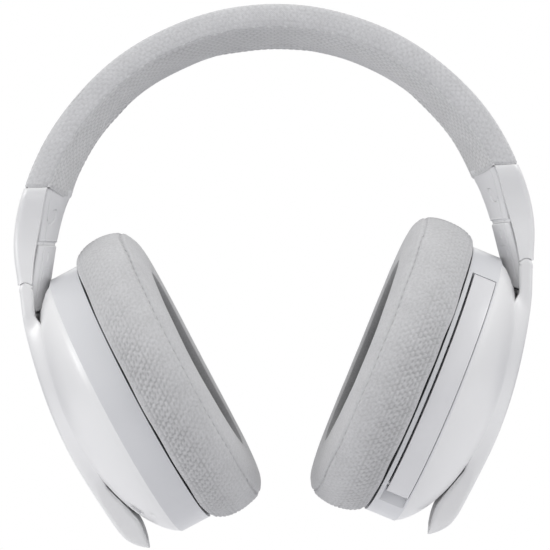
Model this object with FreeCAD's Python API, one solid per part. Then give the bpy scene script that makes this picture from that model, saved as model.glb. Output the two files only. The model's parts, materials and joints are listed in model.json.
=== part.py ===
"""Over-ear gaming headset: fabric-covered arch, telescoping arms, tilting ear cups, stowed microphone.

Millimetres, +Z up. The origin is the lowest point of the crown pad's underside, where the headset
rests on a head or a stand. The wearer looks along -Y, so the wearer's left is +X.
The left side is modelled, and the right side is its mirror image apart from the microphone,
the controls and the sockets.
"""
import FreeCAD, Part
import math
import os

Vec = FreeCAD.Vector

# Headband arch
CROWN_R = 74.8            # arch centre to the lowest line of the crown pad
PAD_EDGE_R = 80.2         # arch centre to the pad's edges
ARCH_R = 88.3             # arch centre to the top of the cover
ARCH_HALF_W = 19.0        # half of the arch's front-to-back width
ARCH_END_Z = -44.6        # level where the fabric ends and the end shells start
CENTRE_Z = -CROWN_R
COVER_T = 0.8             # cover fabric with its thin backing
STRIP_R = 84.1            # inner radius of the spring-steel strip
STRIP_T = 0.8
STRIP_HALF_W = 14.0
FORK_HALF_GAP = 8.2       # half of the slot in the strip's forked ends

# End shells and arms
SHELL_WALL = 1.8
SHELL_END_Z = -76.8
SHELL_STATIONS = (        # level, inner edge x, outer face x, half width
    (-44.7, 74.9, 83.6, 19.0),
    (-51.0, 76.9, 86.1, 17.0),
    (-57.0, 78.6, 87.9, 14.2),
    (-64.0, 80.4, 88.8, 13.1),
    (-70.0, 81.6, 88.6, 13.0),
    (-77.5, 82.4, 88.0, 13.0),
)
COVER_STATIONS = (        # level, crown x, edge x, back x, half width
    (-44.9, 68.9, 74.7, 76.0, 17.0),
    (-50.5, 71.5, 76.6, 77.9, 15.1),
    (-56.5, 73.5, 78.1, 79.2, 12.2),
    (-62.4, 75.1, 79.3, 80.3, 11.0),
)
SLIDE_TILT = math.atan(0.2)   # the arms spread outwards as they telescope
SLIDE_TRAVEL = 20.0
BAR_HALF_T = 1.0
BAR_HALF_W = 7.0
BAR_UP = 38.0             # length of bar above the tilt pin
DETENT_PITCH = 2.5
SLIDER_COVER_TOP_Z = -63.6
SLIDER_COVER_END_Z = -87.0
SLIDER_COVER_HALF_W = 10.9
RUN_GAP = 0.06            # bar in its guide
BODY_GAP = 0.3            # between pieces that move past each other

# Tilt hinge: a pin along Y through the top of the blade
PIVOT_X = 84.7
PIVOT_Z = -79.0
PIVOT_PIN_R = 1.0
PIVOT_HOLE_R = 1.04
EYE_R = 1.75
KNUCKLE_R = 2.6
HINGE_SWEEP_R = 7.3       # the slider cover's lower end turns inside this
POCKET_R = 8.3            # clearance round the hinge inside the cup

# Ear cup, in its own frame: x to the rear, y up the long axis, z outwards from the ear
CUP_X = 47.3
CUP_Z = -115.0
CUP_TILT = math.radians(25.12)
OVAL_HALF_L = 48.7
OVAL_HALF_W = 40.0
OVAL_END_R = 34.0
BAND_H = 10.5
BAND_WALL = 2.4
DOME_BASE = 4.0           # centre level of the dome's ellipsoid
DOME_SEMI = (41.5, 50.5, 24.5)
DOME_WALL = 2.2
BAFFLE_Z0 = 1.0
BAFFLE_Z1 = 3.0
POST_XY = (23.0, 23.0)
DRIVER_R = 20.4
DRIVER_FLANGE_R = 24.5

# Ear cushion
CUSHION_GROW = 4.25       # how far its edge stands out past the band
CUSHION_SHIFT = 1.0
CUSHION_DEPTH = 21.6
HOLE_HALF_L = 30.0
HOLE_HALF_W = 21.0
HOLE_END_R = 18.0

# Blade: the white outer limb over the cup, and its free tail
BLADE_HALF_W = 13.0
BLADE_SKIN_X = 86.55      # inner face of the outer skin beside the hinge
TAIL_TIP = (47.8, -169.2)

# Microphone boom, stowed in the front of the left band
BOOM_DEPTH = 5.8
BOOM_Z = (2.2, 9.7)
SLOT_Z = (1.4, 9.9)
SLOT_GAP = 0.35
BOOM_TOP_DEG = 45.0
BOOM_PIVOT_DEG = -43.0
MIC_PIN_R = 1.0
MIC_BLOCK = 8.2           # depth of the solid wall that the slot is cut in

# Controls and sockets
WHEEL_R = 7.5
WHEEL_CENTRE = (34.0, 6.0)
WHEEL_Z = (3.7, 8.7)
SHAFT_R = 1.5
JACK_R = 1.8
JACK_WALL_R = 3.2
JACK_LENGTH = 14.0
JACK_DEG = 48.0
USB_DEG = 20.0
PORT_Z = 6.3


# ---------------------------------------------------------------- geometry helpers

def arc(start, middle, end):
    return Part.Arc(start, middle, end).toShape()


def line(start, end):
    return Part.makeLine(start, end)


def prism(edges, direction):
    return Part.Face(Part.Wire(edges)).extrude(direction)


def outline_xz(points_and_arcs, half_width):
    """Extrude an outline in the XZ plane over the full width in Y.

    Each item is (x, z) for a straight edge to it, or (mid_x, mid_z, x, z) for an arc to it.
    """
    start = Vec(points_and_arcs[0][0], -half_width, points_and_arcs[0][1])
    here = start
    edges = []
    for item in points_and_arcs[1:]:
        end = Vec(item[-2], -half_width, item[-1])
        if len(item) == 4:
            edges.append(arc(here, Vec(item[0], -half_width, item[1]), end))
        else:
            edges.append(line(here, end))
        here = end
    edges.append(line(here, start))
    return prism(edges, Vec(0, 2 * half_width, 0))


def box(x0, x1, y0, y1, z0, z1):
    return Part.makeBox(x1 - x0, y1 - y0, z1 - z0, Vec(x0, y0, z0))


def rod(radius, start, end):
    axis = end - start
    return Part.makeCylinder(radius, axis.Length, start, axis)


def cross_rod(radius, half_length, x, z):
    return rod(radius, Vec(x, -half_length, z), Vec(x, half_length, z))


def mirrored(shape):
    return shape.mirror(Vec(0, 0, 0), Vec(1, 0, 0))


def both_sides(shape):
    return Part.makeCompound([shape, mirrored(shape)])


def solid_of(shape):
    """The largest solid of a boolean's result."""
    return max(shape.Solids, key=lambda solid: solid.Volume)


def save(name, shape):
    shape.exportStep("parts/" + name + ".step")


# ---------------------------------------------------------------- headband

def arch_ring(inner, outer, y0, y1):
    centre = Vec(0, y0, CENTRE_Z)
    along = Vec(0, 1, 0)
    full = Part.makeCylinder(outer, y1 - y0, centre, along)
    hollow = Part.makeCylinder(inner, y1 - y0 + 2, centre - along, along)
    return full.cut(hollow)


def above(level):
    return box(-200, 200, -100, 100, level, 200)


def headband_cover():
    outer = arch_ring(PAD_EDGE_R + 0.2, ARCH_R, -ARCH_HALF_W, ARCH_HALF_W)
    inside = ARCH_HALF_W - COVER_T
    return outer.cut(arch_ring(PAD_EDGE_R - 1, ARCH_R - COVER_T, -inside, inside)).common(above(ARCH_END_Z))


def headband_core():
    half = ARCH_HALF_W - COVER_T - 0.1
    plate = arch_ring(81.2, ARCH_R - COVER_T - 0.1, -half, half)
    channel = arch_ring(80.0, STRIP_R + STRIP_T + 0.3, -half + 3, half - 3)
    return plate.cut(channel).common(above(ARCH_END_Z))


def rivet_axis(side_y):
    angle = math.radians(26)
    outwards = Vec(math.cos(angle), 0, math.sin(angle))
    centre = Vec(0, side_y, CENTRE_Z)
    return centre, outwards


def band_rivets():
    rivets = []
    for side_y in (-11.5, 11.5):
        centre, outwards = rivet_axis(side_y)
        shank = rod(1.2, centre + outwards * 82.0, centre + outwards * (STRIP_R + STRIP_T))
        head = rod(2.0, centre + outwards * 81.3, centre + outwards * 82.0)
        rivets.append(shank.fuse(head))
    return rivets


def headband_spring_band():
    strip = arch_ring(STRIP_R, STRIP_R + STRIP_T, -STRIP_HALF_W, STRIP_HALF_W).common(above(-43.5))
    for side in (-1, 1):
        slot = box(50, 100, -FORK_HALF_GAP, FORK_HALF_GAP, -60, -36)
        strip = strip.cut(slot if side > 0 else mirrored(slot))
        for rivet in band_rivets():
            strip = strip.cut(rivet if side > 0 else mirrored(rivet))
    return strip


def crown_pad():
    edge_y = ARCH_HALF_W - 0.2
    back_y = ARCH_HALF_W - 1.0
    rim = Vec(0, -edge_y, CENTRE_Z + PAD_EDGE_R)
    rim_far = Vec(0, edge_y, CENTRE_Z + PAD_EDGE_R)
    low = Vec(0, 0, 0)
    corners = [
        rim_far,
        Vec(0, back_y, CENTRE_Z + PAD_EDGE_R + 0.1),
        Vec(0, back_y, CENTRE_Z + 81.1),
        Vec(0, -back_y, CENTRE_Z + 81.1),
        Vec(0, -back_y, CENTRE_Z + PAD_EDGE_R + 0.1),
        rim,
    ]
    edges = [arc(rim, low, rim_far)]
    edges += [line(a, b) for a, b in zip(corners, corners[1:])]
    section = Part.Face(Part.Wire(edges))
    ring = section.revolve(Vec(0, 0, CENTRE_Z), Vec(0, 1, 0), 360)
    return ring.common(above(ARCH_END_Z))


def headband_lead():
    lead = Part.makeTorus(82.4, 0.9, Vec(0, 0, CENTRE_Z), Vec(0, 1, 0))
    return lead.common(above(-36))


# ---------------------------------------------------------------- end shells and arms

def channel_section(level, x_in, x_out, half, radius, bulge):
    """A horizontal section of a limb: flat towards the head, rounded corners and a crowned outer face."""
    shoulder = x_out - bulge
    near = 0.293 * radius

    def at(x, y):
        return Vec(x, y, level)

    return Part.Wire([
        line(at(x_in, -half), at(shoulder - radius, -half)),
        arc(at(shoulder - radius, -half), at(shoulder - near, -half + near), at(shoulder, -half + radius)),
        arc(at(shoulder, -half + radius), at(x_out, 0), at(shoulder, half - radius)),
        arc(at(shoulder, half - radius), at(shoulder - near, half - near), at(shoulder - radius, half)),
        line(at(shoulder - radius, half), at(x_in, half)),
        line(at(x_in, half), at(x_in, -half)),
    ])


def shell_outside():
    wires = [channel_section(z, xi, xo, half, 2.4, 0.5) for z, xi, xo, half in SHELL_STATIONS]
    return Part.makeLoft(wires, True, False)


def shell_inside():
    wires = []
    for index, (z, xi, xo, half) in enumerate(SHELL_STATIONS):
        level = z
        if index == 0:
            level = z + 1
        if index == len(SHELL_STATIONS) - 1:
            level = z - 1
        wires.append(channel_section(level, xi - 8, xo - 1.7, half - SHELL_WALL, 1.2, 0.5))
    return Part.makeLoft(wires, True, False)


def cover_section(level, x_crown, x_edge, x_back, half):
    def at(x, y):
        return Vec(x, y, level)

    return Part.Wire([
        arc(at(x_edge, -half), at(x_crown, 0), at(x_edge, half)),
        line(at(x_edge, half), at(x_back, half)),
        line(at(x_back, half), at(x_back, -half)),
        line(at(x_back, -half), at(x_edge, -half)),
    ])


def along_bar(shape):
    """Move a shape built on the tilt pin, with the bar up +Z, to its place on the leaning bar."""
    shape.rotate(Vec(0, 0, 0), Vec(0, 1, 0), -math.degrees(SLIDE_TILT))
    shape.translate(Vec(PIVOT_X, 0, PIVOT_Z))
    return shape


def bar_blank(gap, up, down):
    half_t = BAR_HALF_T + gap
    half_w = BAR_HALF_W + gap
    return along_bar(box(-half_t, half_t, -half_w, half_w, -down, up))


def slider_bar():
    eye = cross_rod(EYE_R, BAR_HALF_W, PIVOT_X, PIVOT_Z)
    bar = bar_blank(0, BAR_UP, 0).fuse(eye)
    steps = int(SLIDE_TRAVEL / DETENT_PITCH) + 1
    for step in range(steps):
        height = 22.0 + step * 1.6
        notch = along_bar(rod(0.45, Vec(BAR_HALF_T, -3.2, height), Vec(BAR_HALF_T, 3.2, height)))
        bar = bar.cut(notch)
    return bar.cut(cross_rod(PIVOT_HOLE_R, 20, PIVOT_X, PIVOT_Z))


def slider_cover():
    lean = math.tan(SLIDE_TILT)
    drop = SLIDER_COVER_TOP_Z - SLIDER_COVER_END_Z
    back = PIVOT_X - (SLIDER_COVER_TOP_Z - PIVOT_Z) * lean - BAR_HALF_T / math.cos(SLIDE_TILT)
    section = cover_section(SLIDER_COVER_TOP_Z, 75.3, 79.4, back, SLIDER_COVER_HALF_W)
    cover = Part.Face(section).extrude(Vec(drop * lean, 0, -drop))
    cover = cover.cut(cross_rod(EYE_R + BODY_GAP, 20, PIVOT_X, PIVOT_Z))
    sweep = cross_rod(HINGE_SWEEP_R, 20, PIVOT_X, PIVOT_Z)
    cover = cover.common(sweep.fuse(above(PIVOT_Z)))
    pill = pill_prism(70, 76.9, 0, -67.0, 0.9, 0.9)
    return solid_of(cover.cut(pill))


def slider_guide():
    block = shell_inside().common(box(70, 90, -20, 20, -72, -58))
    block = block.cut(bar_blank(RUN_GAP, 60, 10))
    inwards = along_bar(box(-40, -BAR_HALF_T + BODY_GAP, -30, 30, -30, 60))
    return solid_of(block.cut(inwards))


def detent_spring():
    return along_bar(box(BAR_HALF_T + 0.15, BAR_HALF_T + 0.55, -3, 3, 22, 34))


def cover_screw_spots():
    return [(-54.0, -9.3), (-54.0, 9.3)]


def cover_screw(z, y):
    head = rod(1.9, Vec(76.4, y, z), Vec(77.5, y, z))
    return head.fuse(rod(1.0, Vec(77.5, y, z), Vec(82.5, y, z)))


def pill_prism(x0, x1, y, z, half_width, half_height):
    core = box(x0, x1, y - half_width, y + half_width, z - half_height, z + half_height)
    for side in (-1, 1):
        end = z + side * half_height
        core = core.fuse(rod(half_width, Vec(x0, y, end), Vec(x1, y, end)))
    return core.removeSplitter()


def end_shell():
    outside = shell_outside()
    shell = outside.cut(shell_inside())
    shell = shell.common(box(60, 95, -25, 25, SHELL_END_Z, ARCH_END_Z - 0.05))
    for side in (-1, 1):
        y0, y1 = sorted((side * 8.6, side * 18.0))
        shell = shell.fuse(outside.common(box(76.8, 90, y0, y1, -47.5, ARCH_END_Z - 0.05)))
        y0, y1 = sorted((side * 9.3, side * 13.8))
        prong = arch_ring(82.0, STRIP_R - 0.1, y0, y1).common(box(60, 90, -25, 25, -46.5, -32))
        shell = shell.fuse(prong)
    for z, y in cover_screw_spots():
        shell = shell.fuse(rod(2.0, Vec(79.6, y, z), Vec(85.0, y, z)))
        shell = shell.cut(rod(1.0, Vec(77, y, z), Vec(82.5, y, z)))
    for rivet in band_rivets():
        shell = shell.cut(rivet)
    return solid_of(shell.cut(cross_rod(KNUCKLE_R + BODY_GAP, 30, PIVOT_X, PIVOT_Z)))


def end_cover_blank():
    return Part.makeLoft([cover_section(*station) for station in COVER_STATIONS], True, False)


def end_cover(shell):
    cover = end_cover_blank().cut(shell).cut(bar_blank(BODY_GAP, 60, 0))
    for z, y in cover_screw_spots():
        cover = cover.cut(pill_prism(60, 77.5, y, z, 2.0, 1.4))
        cover = cover.cut(rod(1.1, Vec(77, y, z), Vec(82, y, z)))
    return solid_of(cover)


def end_cover_plug(z, y):
    return pill_prism(60, 76.3, y, z, 1.95, 1.4).common(end_cover_blank())


# ---------------------------------------------------------------- ear cup

def oval_wire(half_length, half_width, end_radius, z):
    """A four-arc oval, long axis along y."""
    rise = half_length - end_radius
    side_radius = (end_radius ** 2 - half_width ** 2 - rise ** 2) / (2 * (end_radius - half_width))
    angle = math.atan2(rise, side_radius - half_width)
    tx = end_radius * math.cos(angle)
    ty = rise + end_radius * math.sin(angle)
    return Part.Wire([
        arc(Vec(tx, -ty, z), Vec(half_width, 0, z), Vec(tx, ty, z)),
        arc(Vec(tx, ty, z), Vec(0, half_length, z), Vec(-tx, ty, z)),
        arc(Vec(-tx, ty, z), Vec(-half_width, 0, z), Vec(-tx, -ty, z)),
        arc(Vec(-tx, -ty, z), Vec(0, -half_length, z), Vec(tx, -ty, z)),
    ])


def oval_prism(half_length, half_width, end_radius, z0, z1):
    return Part.Face(oval_wire(half_length, half_width, end_radius, z0)).extrude(Vec(0, 0, z1 - z0))


def cup_oval(grow, z0, z1):
    return oval_prism(OVAL_HALF_L + grow, OVAL_HALF_W + grow, OVAL_END_R + grow, z0, z1)


def side_radius():
    rise = OVAL_HALF_L - OVAL_END_R
    return (OVAL_END_R ** 2 - OVAL_HALF_W ** 2 - rise ** 2) / (2 * (OVAL_END_R - OVAL_HALF_W))


SIDE_R = side_radius()
SIDE_X = SIDE_R - OVAL_HALF_W     # the front side arc's centre is at x = +SIDE_X
END_Y = OVAL_HALF_L - OVAL_END_R  # the end arcs' centres are at y = +-END_Y


def cup_frame():
    sine = math.sin(CUP_TILT)
    cosine = math.cos(CUP_TILT)
    return FreeCAD.Placement(FreeCAD.Matrix(
        0, sine, cosine, CUP_X,
        1, 0, 0, 0,
        0, cosine, -sine, CUP_Z,
        0, 0, 0, 1))


CUP_FRAME = cup_frame()


def in_place(shape):
    """Move a shape from the left cup's own frame to its place on the headset."""
    placed = shape.copy()
    placed.Placement = CUP_FRAME.multiply(placed.Placement)
    return placed


def to_cup(shape):
    placed = shape.copy()
    placed.Placement = CUP_FRAME.inverse().multiply(placed.Placement)
    return placed


def hinge_pocket():
    return to_cup(cross_rod(POCKET_R, SLIDER_COVER_HALF_W + BODY_GAP, PIVOT_X, PIVOT_Z))


def ellipsoid(semi, level):
    stretch = FreeCAD.Matrix()
    stretch.scale(semi[0] / 10, semi[1] / 10, semi[2] / 10)
    body = Part.makeSphere(10).transformGeometry(stretch)
    body.translate(Vec(0, 0, level))
    return body


def dome_solid():
    return ellipsoid(DOME_SEMI, DOME_BASE).common(box(-60, 60, -60, 60, BAND_H, 60))


def dome():
    inner = [axis - DOME_WALL for axis in DOME_SEMI]
    shell = dome_solid().cut(ellipsoid(inner, DOME_BASE))
    return solid_of(shell.cut(hinge_pocket()))


def band_ring():
    return cup_oval(0, 0, BAND_H).cut(cup_oval(-BAND_WALL, -1, BAND_H + 1))


def polar(radius, degrees):
    """A point on the front side arc's circles, from straight ahead, positive up the cup."""
    angle = math.radians(degrees)
    return Vec(SIDE_X - radius * math.cos(angle), radius * math.sin(angle), 0)


def boom_sector(outer, inner, low_deg, high_deg, z0, z1):
    edges = [
        arc(polar(outer, low_deg), polar(outer, (low_deg + high_deg) / 2), polar(outer, high_deg)),
        line(polar(outer, high_deg), polar(inner, high_deg)),
        arc(polar(inner, high_deg), polar(inner, (low_deg + high_deg) / 2), polar(inner, low_deg)),
        line(polar(inner, low_deg), polar(outer, low_deg)),
    ]
    sector = prism(edges, Vec(0, 0, z1 - z0))
    sector.translate(Vec(0, 0, z0))
    return sector


def mic_pivot():
    return polar(SIDE_R - BOOM_DEPTH / 2, BOOM_PIVOT_DEG)


def pivot_disc(radius, z0, z1):
    centre = mic_pivot()
    return rod(radius, Vec(centre.x, centre.y, z0), Vec(centre.x, centre.y, z1))


def mic_slot():
    z0, z1 = SLOT_Z
    slot = boom_sector(SIDE_R + 3, SIDE_R - BOOM_DEPTH - SLOT_GAP, BOOM_PIVOT_DEG, BOOM_TOP_DEG + 0.4, z0, z1)
    slot = slot.fuse(pivot_disc(BOOM_DEPTH / 2 + SLOT_GAP, z0, z1))
    # A ramp below the pivot lets the boom swing past square to the cup.
    outwards = polar(1, BOOM_PIVOT_DEG) - Vec(SIDE_X, 0, 0)
    downwards = Vec(-outwards.y, outwards.x, 0)
    centre = mic_pivot() + Vec(0, 0, z0)
    corners = [(-1.5, 0), (-1.5, 2.4), (3.0, 8.2), (6.0, 8.2), (6.0, 0)]
    points = [centre + outwards * n + downwards * s for n, s in corners]
    edges = [line(a, b) for a, b in zip(points, points[1:] + points[:1])]
    return slot.fuse(prism(edges, Vec(0, 0, z1 - z0)))


def end_arc_place(shape, degrees):
    """Turn a shape built at the cup's lowest point round the lower end arc, towards the rear."""
    shape.rotate(Vec(0, -END_Y, 0), Vec(0, 0, 1), degrees)
    return shape


def rear_place(shape, degrees):
    """Turn a shape built at the rear-most point of the band round the rear side arc."""
    shape.rotate(Vec(-SIDE_X, 0, 0), Vec(0, 0, 1), degrees)
    return shape


def jack_rod(radius, depth, proud):
    y_out = -OVAL_HALF_L - proud
    y_in = -OVAL_HALF_L + depth
    return end_arc_place(rod(radius, Vec(0, y_out, PORT_Z), Vec(0, y_in, PORT_Z)), JACK_DEG)


def usb_block(half_w, half_h, depth, proud):
    y_out = -OVAL_HALF_L - proud
    block = box(-half_w + half_h, half_w - half_h, y_out, -OVAL_HALF_L + depth, PORT_Z - half_h, PORT_Z + half_h)
    for side in (-1, 1):
        x = side * (half_w - half_h)
        block = block.fuse(rod(half_h, Vec(x, y_out, PORT_Z), Vec(x, -OVAL_HALF_L + depth, PORT_Z)))
    return end_arc_place(block.removeSplitter(), USB_DEG)


def rear_button(half_y, half_z, gap, depth, proud, degrees):
    """A pill-shaped button on the rear of the band."""
    x0 = OVAL_HALF_W - depth
    x1 = OVAL_HALF_W + proud
    half_y += gap
    half_z += gap
    z = BAND_H / 2 + 0.8
    body = box(x0, x1, -half_y + half_z, half_y - half_z, z - half_z, z + half_z)
    for side in (-1, 1):
        y = side * (half_y - half_z)
        body = body.fuse(rod(half_z, Vec(x0, y, z), Vec(x1, y, z)))
    return rear_place(body.removeSplitter(), degrees)


def wheel_disc(radius, z0, z1):
    x, y = WHEEL_CENTRE
    return rod(radius, Vec(x, y, z0), Vec(x, y, z1))


def left_band():
    block = cup_oval(0, 0, BAND_H).cut(cup_oval(-MIC_BLOCK, -1, BAND_H + 1))
    block = block.common(box(-60, -12, -60, 60, 0, BAND_H))
    band = band_ring().fuse(block).cut(mic_slot())
    band = band.cut(pivot_disc(MIC_PIN_R, 0.5, BAND_H - 0.1))
    band = band.cut(jack_rod(JACK_WALL_R, 20, 5))
    band = band.cut(usb_block(4.5, 1.65, 10, 3))
    band = band.cut(wheel_disc(WHEEL_R + 0.4, WHEEL_Z[0] - 0.4, WHEEL_Z[1] + 0.4))
    band = band.cut(rear_button(3.2, 1.6, BODY_GAP, 6, 5, -14))
    return solid_of(band.cut(hinge_pocket()))


def right_band():
    band = band_ring().cut(rear_button(3.8, 1.8, BODY_GAP, 6, 5, 4))
    return solid_of(band.cut(hinge_pocket()))


def post_spots():
    px, py = POST_XY
    return [(sx * px, sy * py) for sx in (-1, 1) for sy in (-1, 1)]


def cup_screws():
    screws = []
    for x, y in post_spots():
        head = rod(2.0, Vec(x, y, BAFFLE_Z0), Vec(x, y, BAFFLE_Z0 + 1.0))
        screws.append(head.fuse(rod(1.0, Vec(x, y, BAFFLE_Z0 + 1.0), Vec(x, y, 8.5))))
    return Part.makeCompound(screws)


def baffle(band):
    plate = cup_oval(-BAND_WALL, BAFFLE_Z0, BAFFLE_Z1)
    for x, y in post_spots():
        plate = plate.fuse(rod(2.2, Vec(x, y, BAFFLE_Z1), Vec(x, y, 11.4)))
    plate = plate.cut(rod(DRIVER_R, Vec(0, 0, 0), Vec(0, 0, 6)))
    return solid_of(plate.cut(cup_screws()).cut(band))


def driver_frame():
    flange = rod(DRIVER_FLANGE_R, Vec(0, 0, -0.4), Vec(0, 0, BAFFLE_Z0))
    basket = rod(DRIVER_R, Vec(0, 0, BAFFLE_Z0), Vec(0, 0, 6))
    frame = flange.fuse(basket).cut(rod(19.6, Vec(0, 0, -1), Vec(0, 0, 5)))
    for step in range(6):
        angle = math.radians(60 * step)
        spot = Vec(15.5 * math.cos(angle), 15.5 * math.sin(angle), 0)
        frame = frame.cut(rod(2.4, spot + Vec(0, 0, 4), spot + Vec(0, 0, 7)))
    return frame


def diaphragm():
    dome_part = Part.makeSphere(34, Vec(0, 0, -29)).cut(Part.makeSphere(33.7, Vec(0, 0, -29)))
    centre = dome_part.common(rod(12, Vec(0, 0, 0), Vec(0, 0, 5)))
    ring = rod(19.5, Vec(0, 0, 2.6), Vec(0, 0, 2.9)).cut(rod(11.6, Vec(0, 0, 2), Vec(0, 0, 3.5)))
    return solid_of(centre.fuse(ring))


def cushion_ring():
    ring = cup_oval(-BAND_WALL - 0.2, -2.4, 0)
    return solid_of(ring.cut(oval_prism(36, 27, 22, -5, 5)))


def driver_cloth():
    return oval_prism(38, 29, 24, -2.9, -2.45)


def ear_cushion():
    outer = cup_oval(CUSHION_GROW, -CUSHION_DEPTH, -0.6)
    outer.translate(Vec(0, CUSHION_SHIFT, 0))
    face_edges = [edge for edge in outer.Edges if abs(edge.BoundBox.ZMax + CUSHION_DEPTH) < 0.01]
    body = outer.makeFillet(9.0, face_edges)
    back_edges = [edge for edge in body.Edges if abs(edge.BoundBox.ZMin + 0.6) < 0.01]
    body = body.makeFillet(3.2, back_edges)
    hole = oval_prism(HOLE_HALF_L, HOLE_HALF_W, HOLE_END_R, -40, 5)
    seat = cup_oval(-BAND_WALL + 0.3, -3.2, 5)
    return solid_of(body.cut(hole).cut(seat))


# ---------------------------------------------------------------- blade

def blade_outline():
    x, z = PIVOT_X, PIVOT_Z
    return outline_xz([
        (x - KNUCKLE_R, z),
        (x, z + KNUCKLE_R, x + KNUCKLE_R, z),
        (80.1, -116.3, 61.6, -157.0),
        (56.7, -164.8, TAIL_TIP[0], TAIL_TIP[1]),
        (49.6, -163.4, 52.8, -156.3),
        (61.8, -145.4),
        (75.4, -120.0, 81.6, -92.0),
    ], BLADE_HALF_W)


def blade_side_outline():
    """The blade seen from the wearer's side: parallel, then narrowing to a rounded tip."""
    def at(y, z):
        return Vec(0, y, z)

    half = BLADE_HALF_W
    edges = [
        line(at(-half, -70), at(half, -70)),
        line(at(half, -70), at(half, -112)),
        arc(at(half, -112), at(half - 1.7, -138), at(4.6, -164)),
        arc(at(4.6, -164), at(0, TAIL_TIP[1] - 0.2), at(-4.6, -164)),
        arc(at(-4.6, -164), at(-half + 1.7, -138), at(-half, -112)),
        line(at(-half, -112), at(-half, -70)),
    ]
    return prism(edges, Vec(120, 0, 0))


def blade_inlay():
    panel = outline_xz([(58.7, -149.0), (52.6, -156.0), (50.3, -160.8), (51.2, -161.2), (53.4, -156.6),
                        (59.3, -149.7)], 4.6)
    return panel.common(blade_blank())


def blade_blank():
    blank = blade_outline().common(blade_side_outline())
    return solid_of(blank.cut(in_place(dome_solid())))


def blade():
    limb = blade_blank().cut(blade_inlay())
    inside = SLIDER_COVER_HALF_W + BODY_GAP
    limb = limb.cut(box(74, BLADE_SKIN_X, -inside, inside, PIVOT_Z - 2.2, -70))
    limb = limb.cut(box(74, BLADE_SKIN_X - 1.3, -inside, inside, -87, -70))
    web = box(78.5, BLADE_SKIN_X - 1.3, -9, 9, -94, -80).cut(in_place(dome_solid()))
    limb = limb.fuse(web).cut(cross_rod(POCKET_R, inside, PIVOT_X, PIVOT_Z))
    limb = limb.cut(cross_rod(PIVOT_PIN_R, BLADE_HALF_W - 0.5, PIVOT_X, PIVOT_Z))
    return solid_of(limb)


# ---------------------------------------------------------------- microphone and controls

def mic_boom():
    z0, z1 = BOOM_Z
    boom = boom_sector(SIDE_R, SIDE_R - BOOM_DEPTH, BOOM_PIVOT_DEG, BOOM_TOP_DEG, z0, z1)
    boom = boom.fuse(pivot_disc(BOOM_DEPTH / 2, z0, z1)).cut(pivot_disc(MIC_PIN_R + 0.04, 0, 12))
    return solid_of(boom.cut(mic_capsule()))


def mic_capsule():
    middle = (BOOM_Z[0] + BOOM_Z[1]) / 2
    inner = polar(SIDE_R - BOOM_DEPTH - 0.01, BOOM_TOP_DEG - 6) + Vec(0, 0, middle)
    outer = polar(SIDE_R - BOOM_DEPTH + 2.0, BOOM_TOP_DEG - 6) + Vec(0, 0, middle)
    return rod(2.0, inner, outer)


def volume_wheel():
    wheel = wheel_disc(WHEEL_R, *WHEEL_Z).cut(wheel_disc(SHAFT_R + 0.05, 0, 12))
    x, y = WHEEL_CENTRE
    ribs = 30
    for step in range(ribs):
        angle = 2 * math.pi * step / ribs
        groove = rod(0.32, Vec(WHEEL_R, 0, 0), Vec(WHEEL_R, 0, 12))
        groove.rotate(Vec(0, 0, 0), Vec(0, 0, 1), math.degrees(angle))
        groove.translate(Vec(x, y, 0))
        wheel = wheel.cut(groove)
    return wheel


def volume_encoder():
    base = wheel_disc(3.0, BAFFLE_Z1, BAFFLE_Z1 + 0.4)
    return base.fuse(wheel_disc(SHAFT_R, BAFFLE_Z1 + 0.4, 9.4))


def mute_button():
    return rear_button(3.2, 1.6, 0, 3.2, 0.8, -14)


def power_button():
    return rear_button(3.8, 1.8, 0, 3.2, 0.8, 4)


def mode_button_blank(gap):
    """A small oblong button square to the dome, beside the blade's tail."""
    body = box(-1.1 - gap, 1.1 + gap, -1.2, 1.2, -3, 0.6 if gap == 0 else 5)
    for side in (-1, 1):
        y = side * 1.2
        body = body.fuse(rod(1.1 + gap, Vec(0, y, -3), Vec(0, y, 0.6 if gap == 0 else 5)))
    body = body.removeSplitter()
    lean_x, lean_y = mode_button_lean()
    body.rotate(Vec(0, 0, 0), Vec(0, 1, 0), lean_x)
    body.rotate(Vec(0, 0, 0), Vec(1, 0, 0), lean_y)
    body.translate(mode_button_spot())
    return body


def mode_button_spot():
    x, y = -17.0, -33.5
    ax, ay, az = DOME_SEMI
    return Vec(x, y, DOME_BASE + az * math.sqrt(1 - (x / ax) ** 2 - (y / ay) ** 2))


def mode_button_normal():
    spot = mode_button_spot()
    ax, ay, az = DOME_SEMI
    normal = Vec(spot.x / ax ** 2, spot.y / ay ** 2, (spot.z - DOME_BASE) / az ** 2)
    return normal.normalize()


def mode_button_lean():
    normal = mode_button_normal()
    lean_x = math.degrees(math.asin(normal.x))
    lean_y = -math.degrees(math.atan2(normal.y, normal.z))
    return lean_x, lean_y


def usb_socket():
    shell = usb_block(4.45, 1.6, 7.0, -0.3).cut(usb_block(4.15, 1.3, 6.4, 2))
    tongue = box(-3.3, 3.3, -OVAL_HALF_L + 1.2, -OVAL_HALF_L + 6.6, PORT_Z - 0.35, PORT_Z + 0.35)
    return shell.fuse(end_arc_place(tongue, USB_DEG))


def jack_socket():
    return jack_rod(JACK_WALL_R, JACK_LENGTH + 1.0, 0).common(cup_oval(0, 0, BAND_H)).cut(
        jack_rod(JACK_R, JACK_LENGTH, 3))


def main_board():
    return oval_prism(36, 28, 22, 11.5, 12.7)


def battery():
    return oval_prism(29, 20, 17, 11.6, 17.0)


# ---------------------------------------------------------------- build

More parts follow.
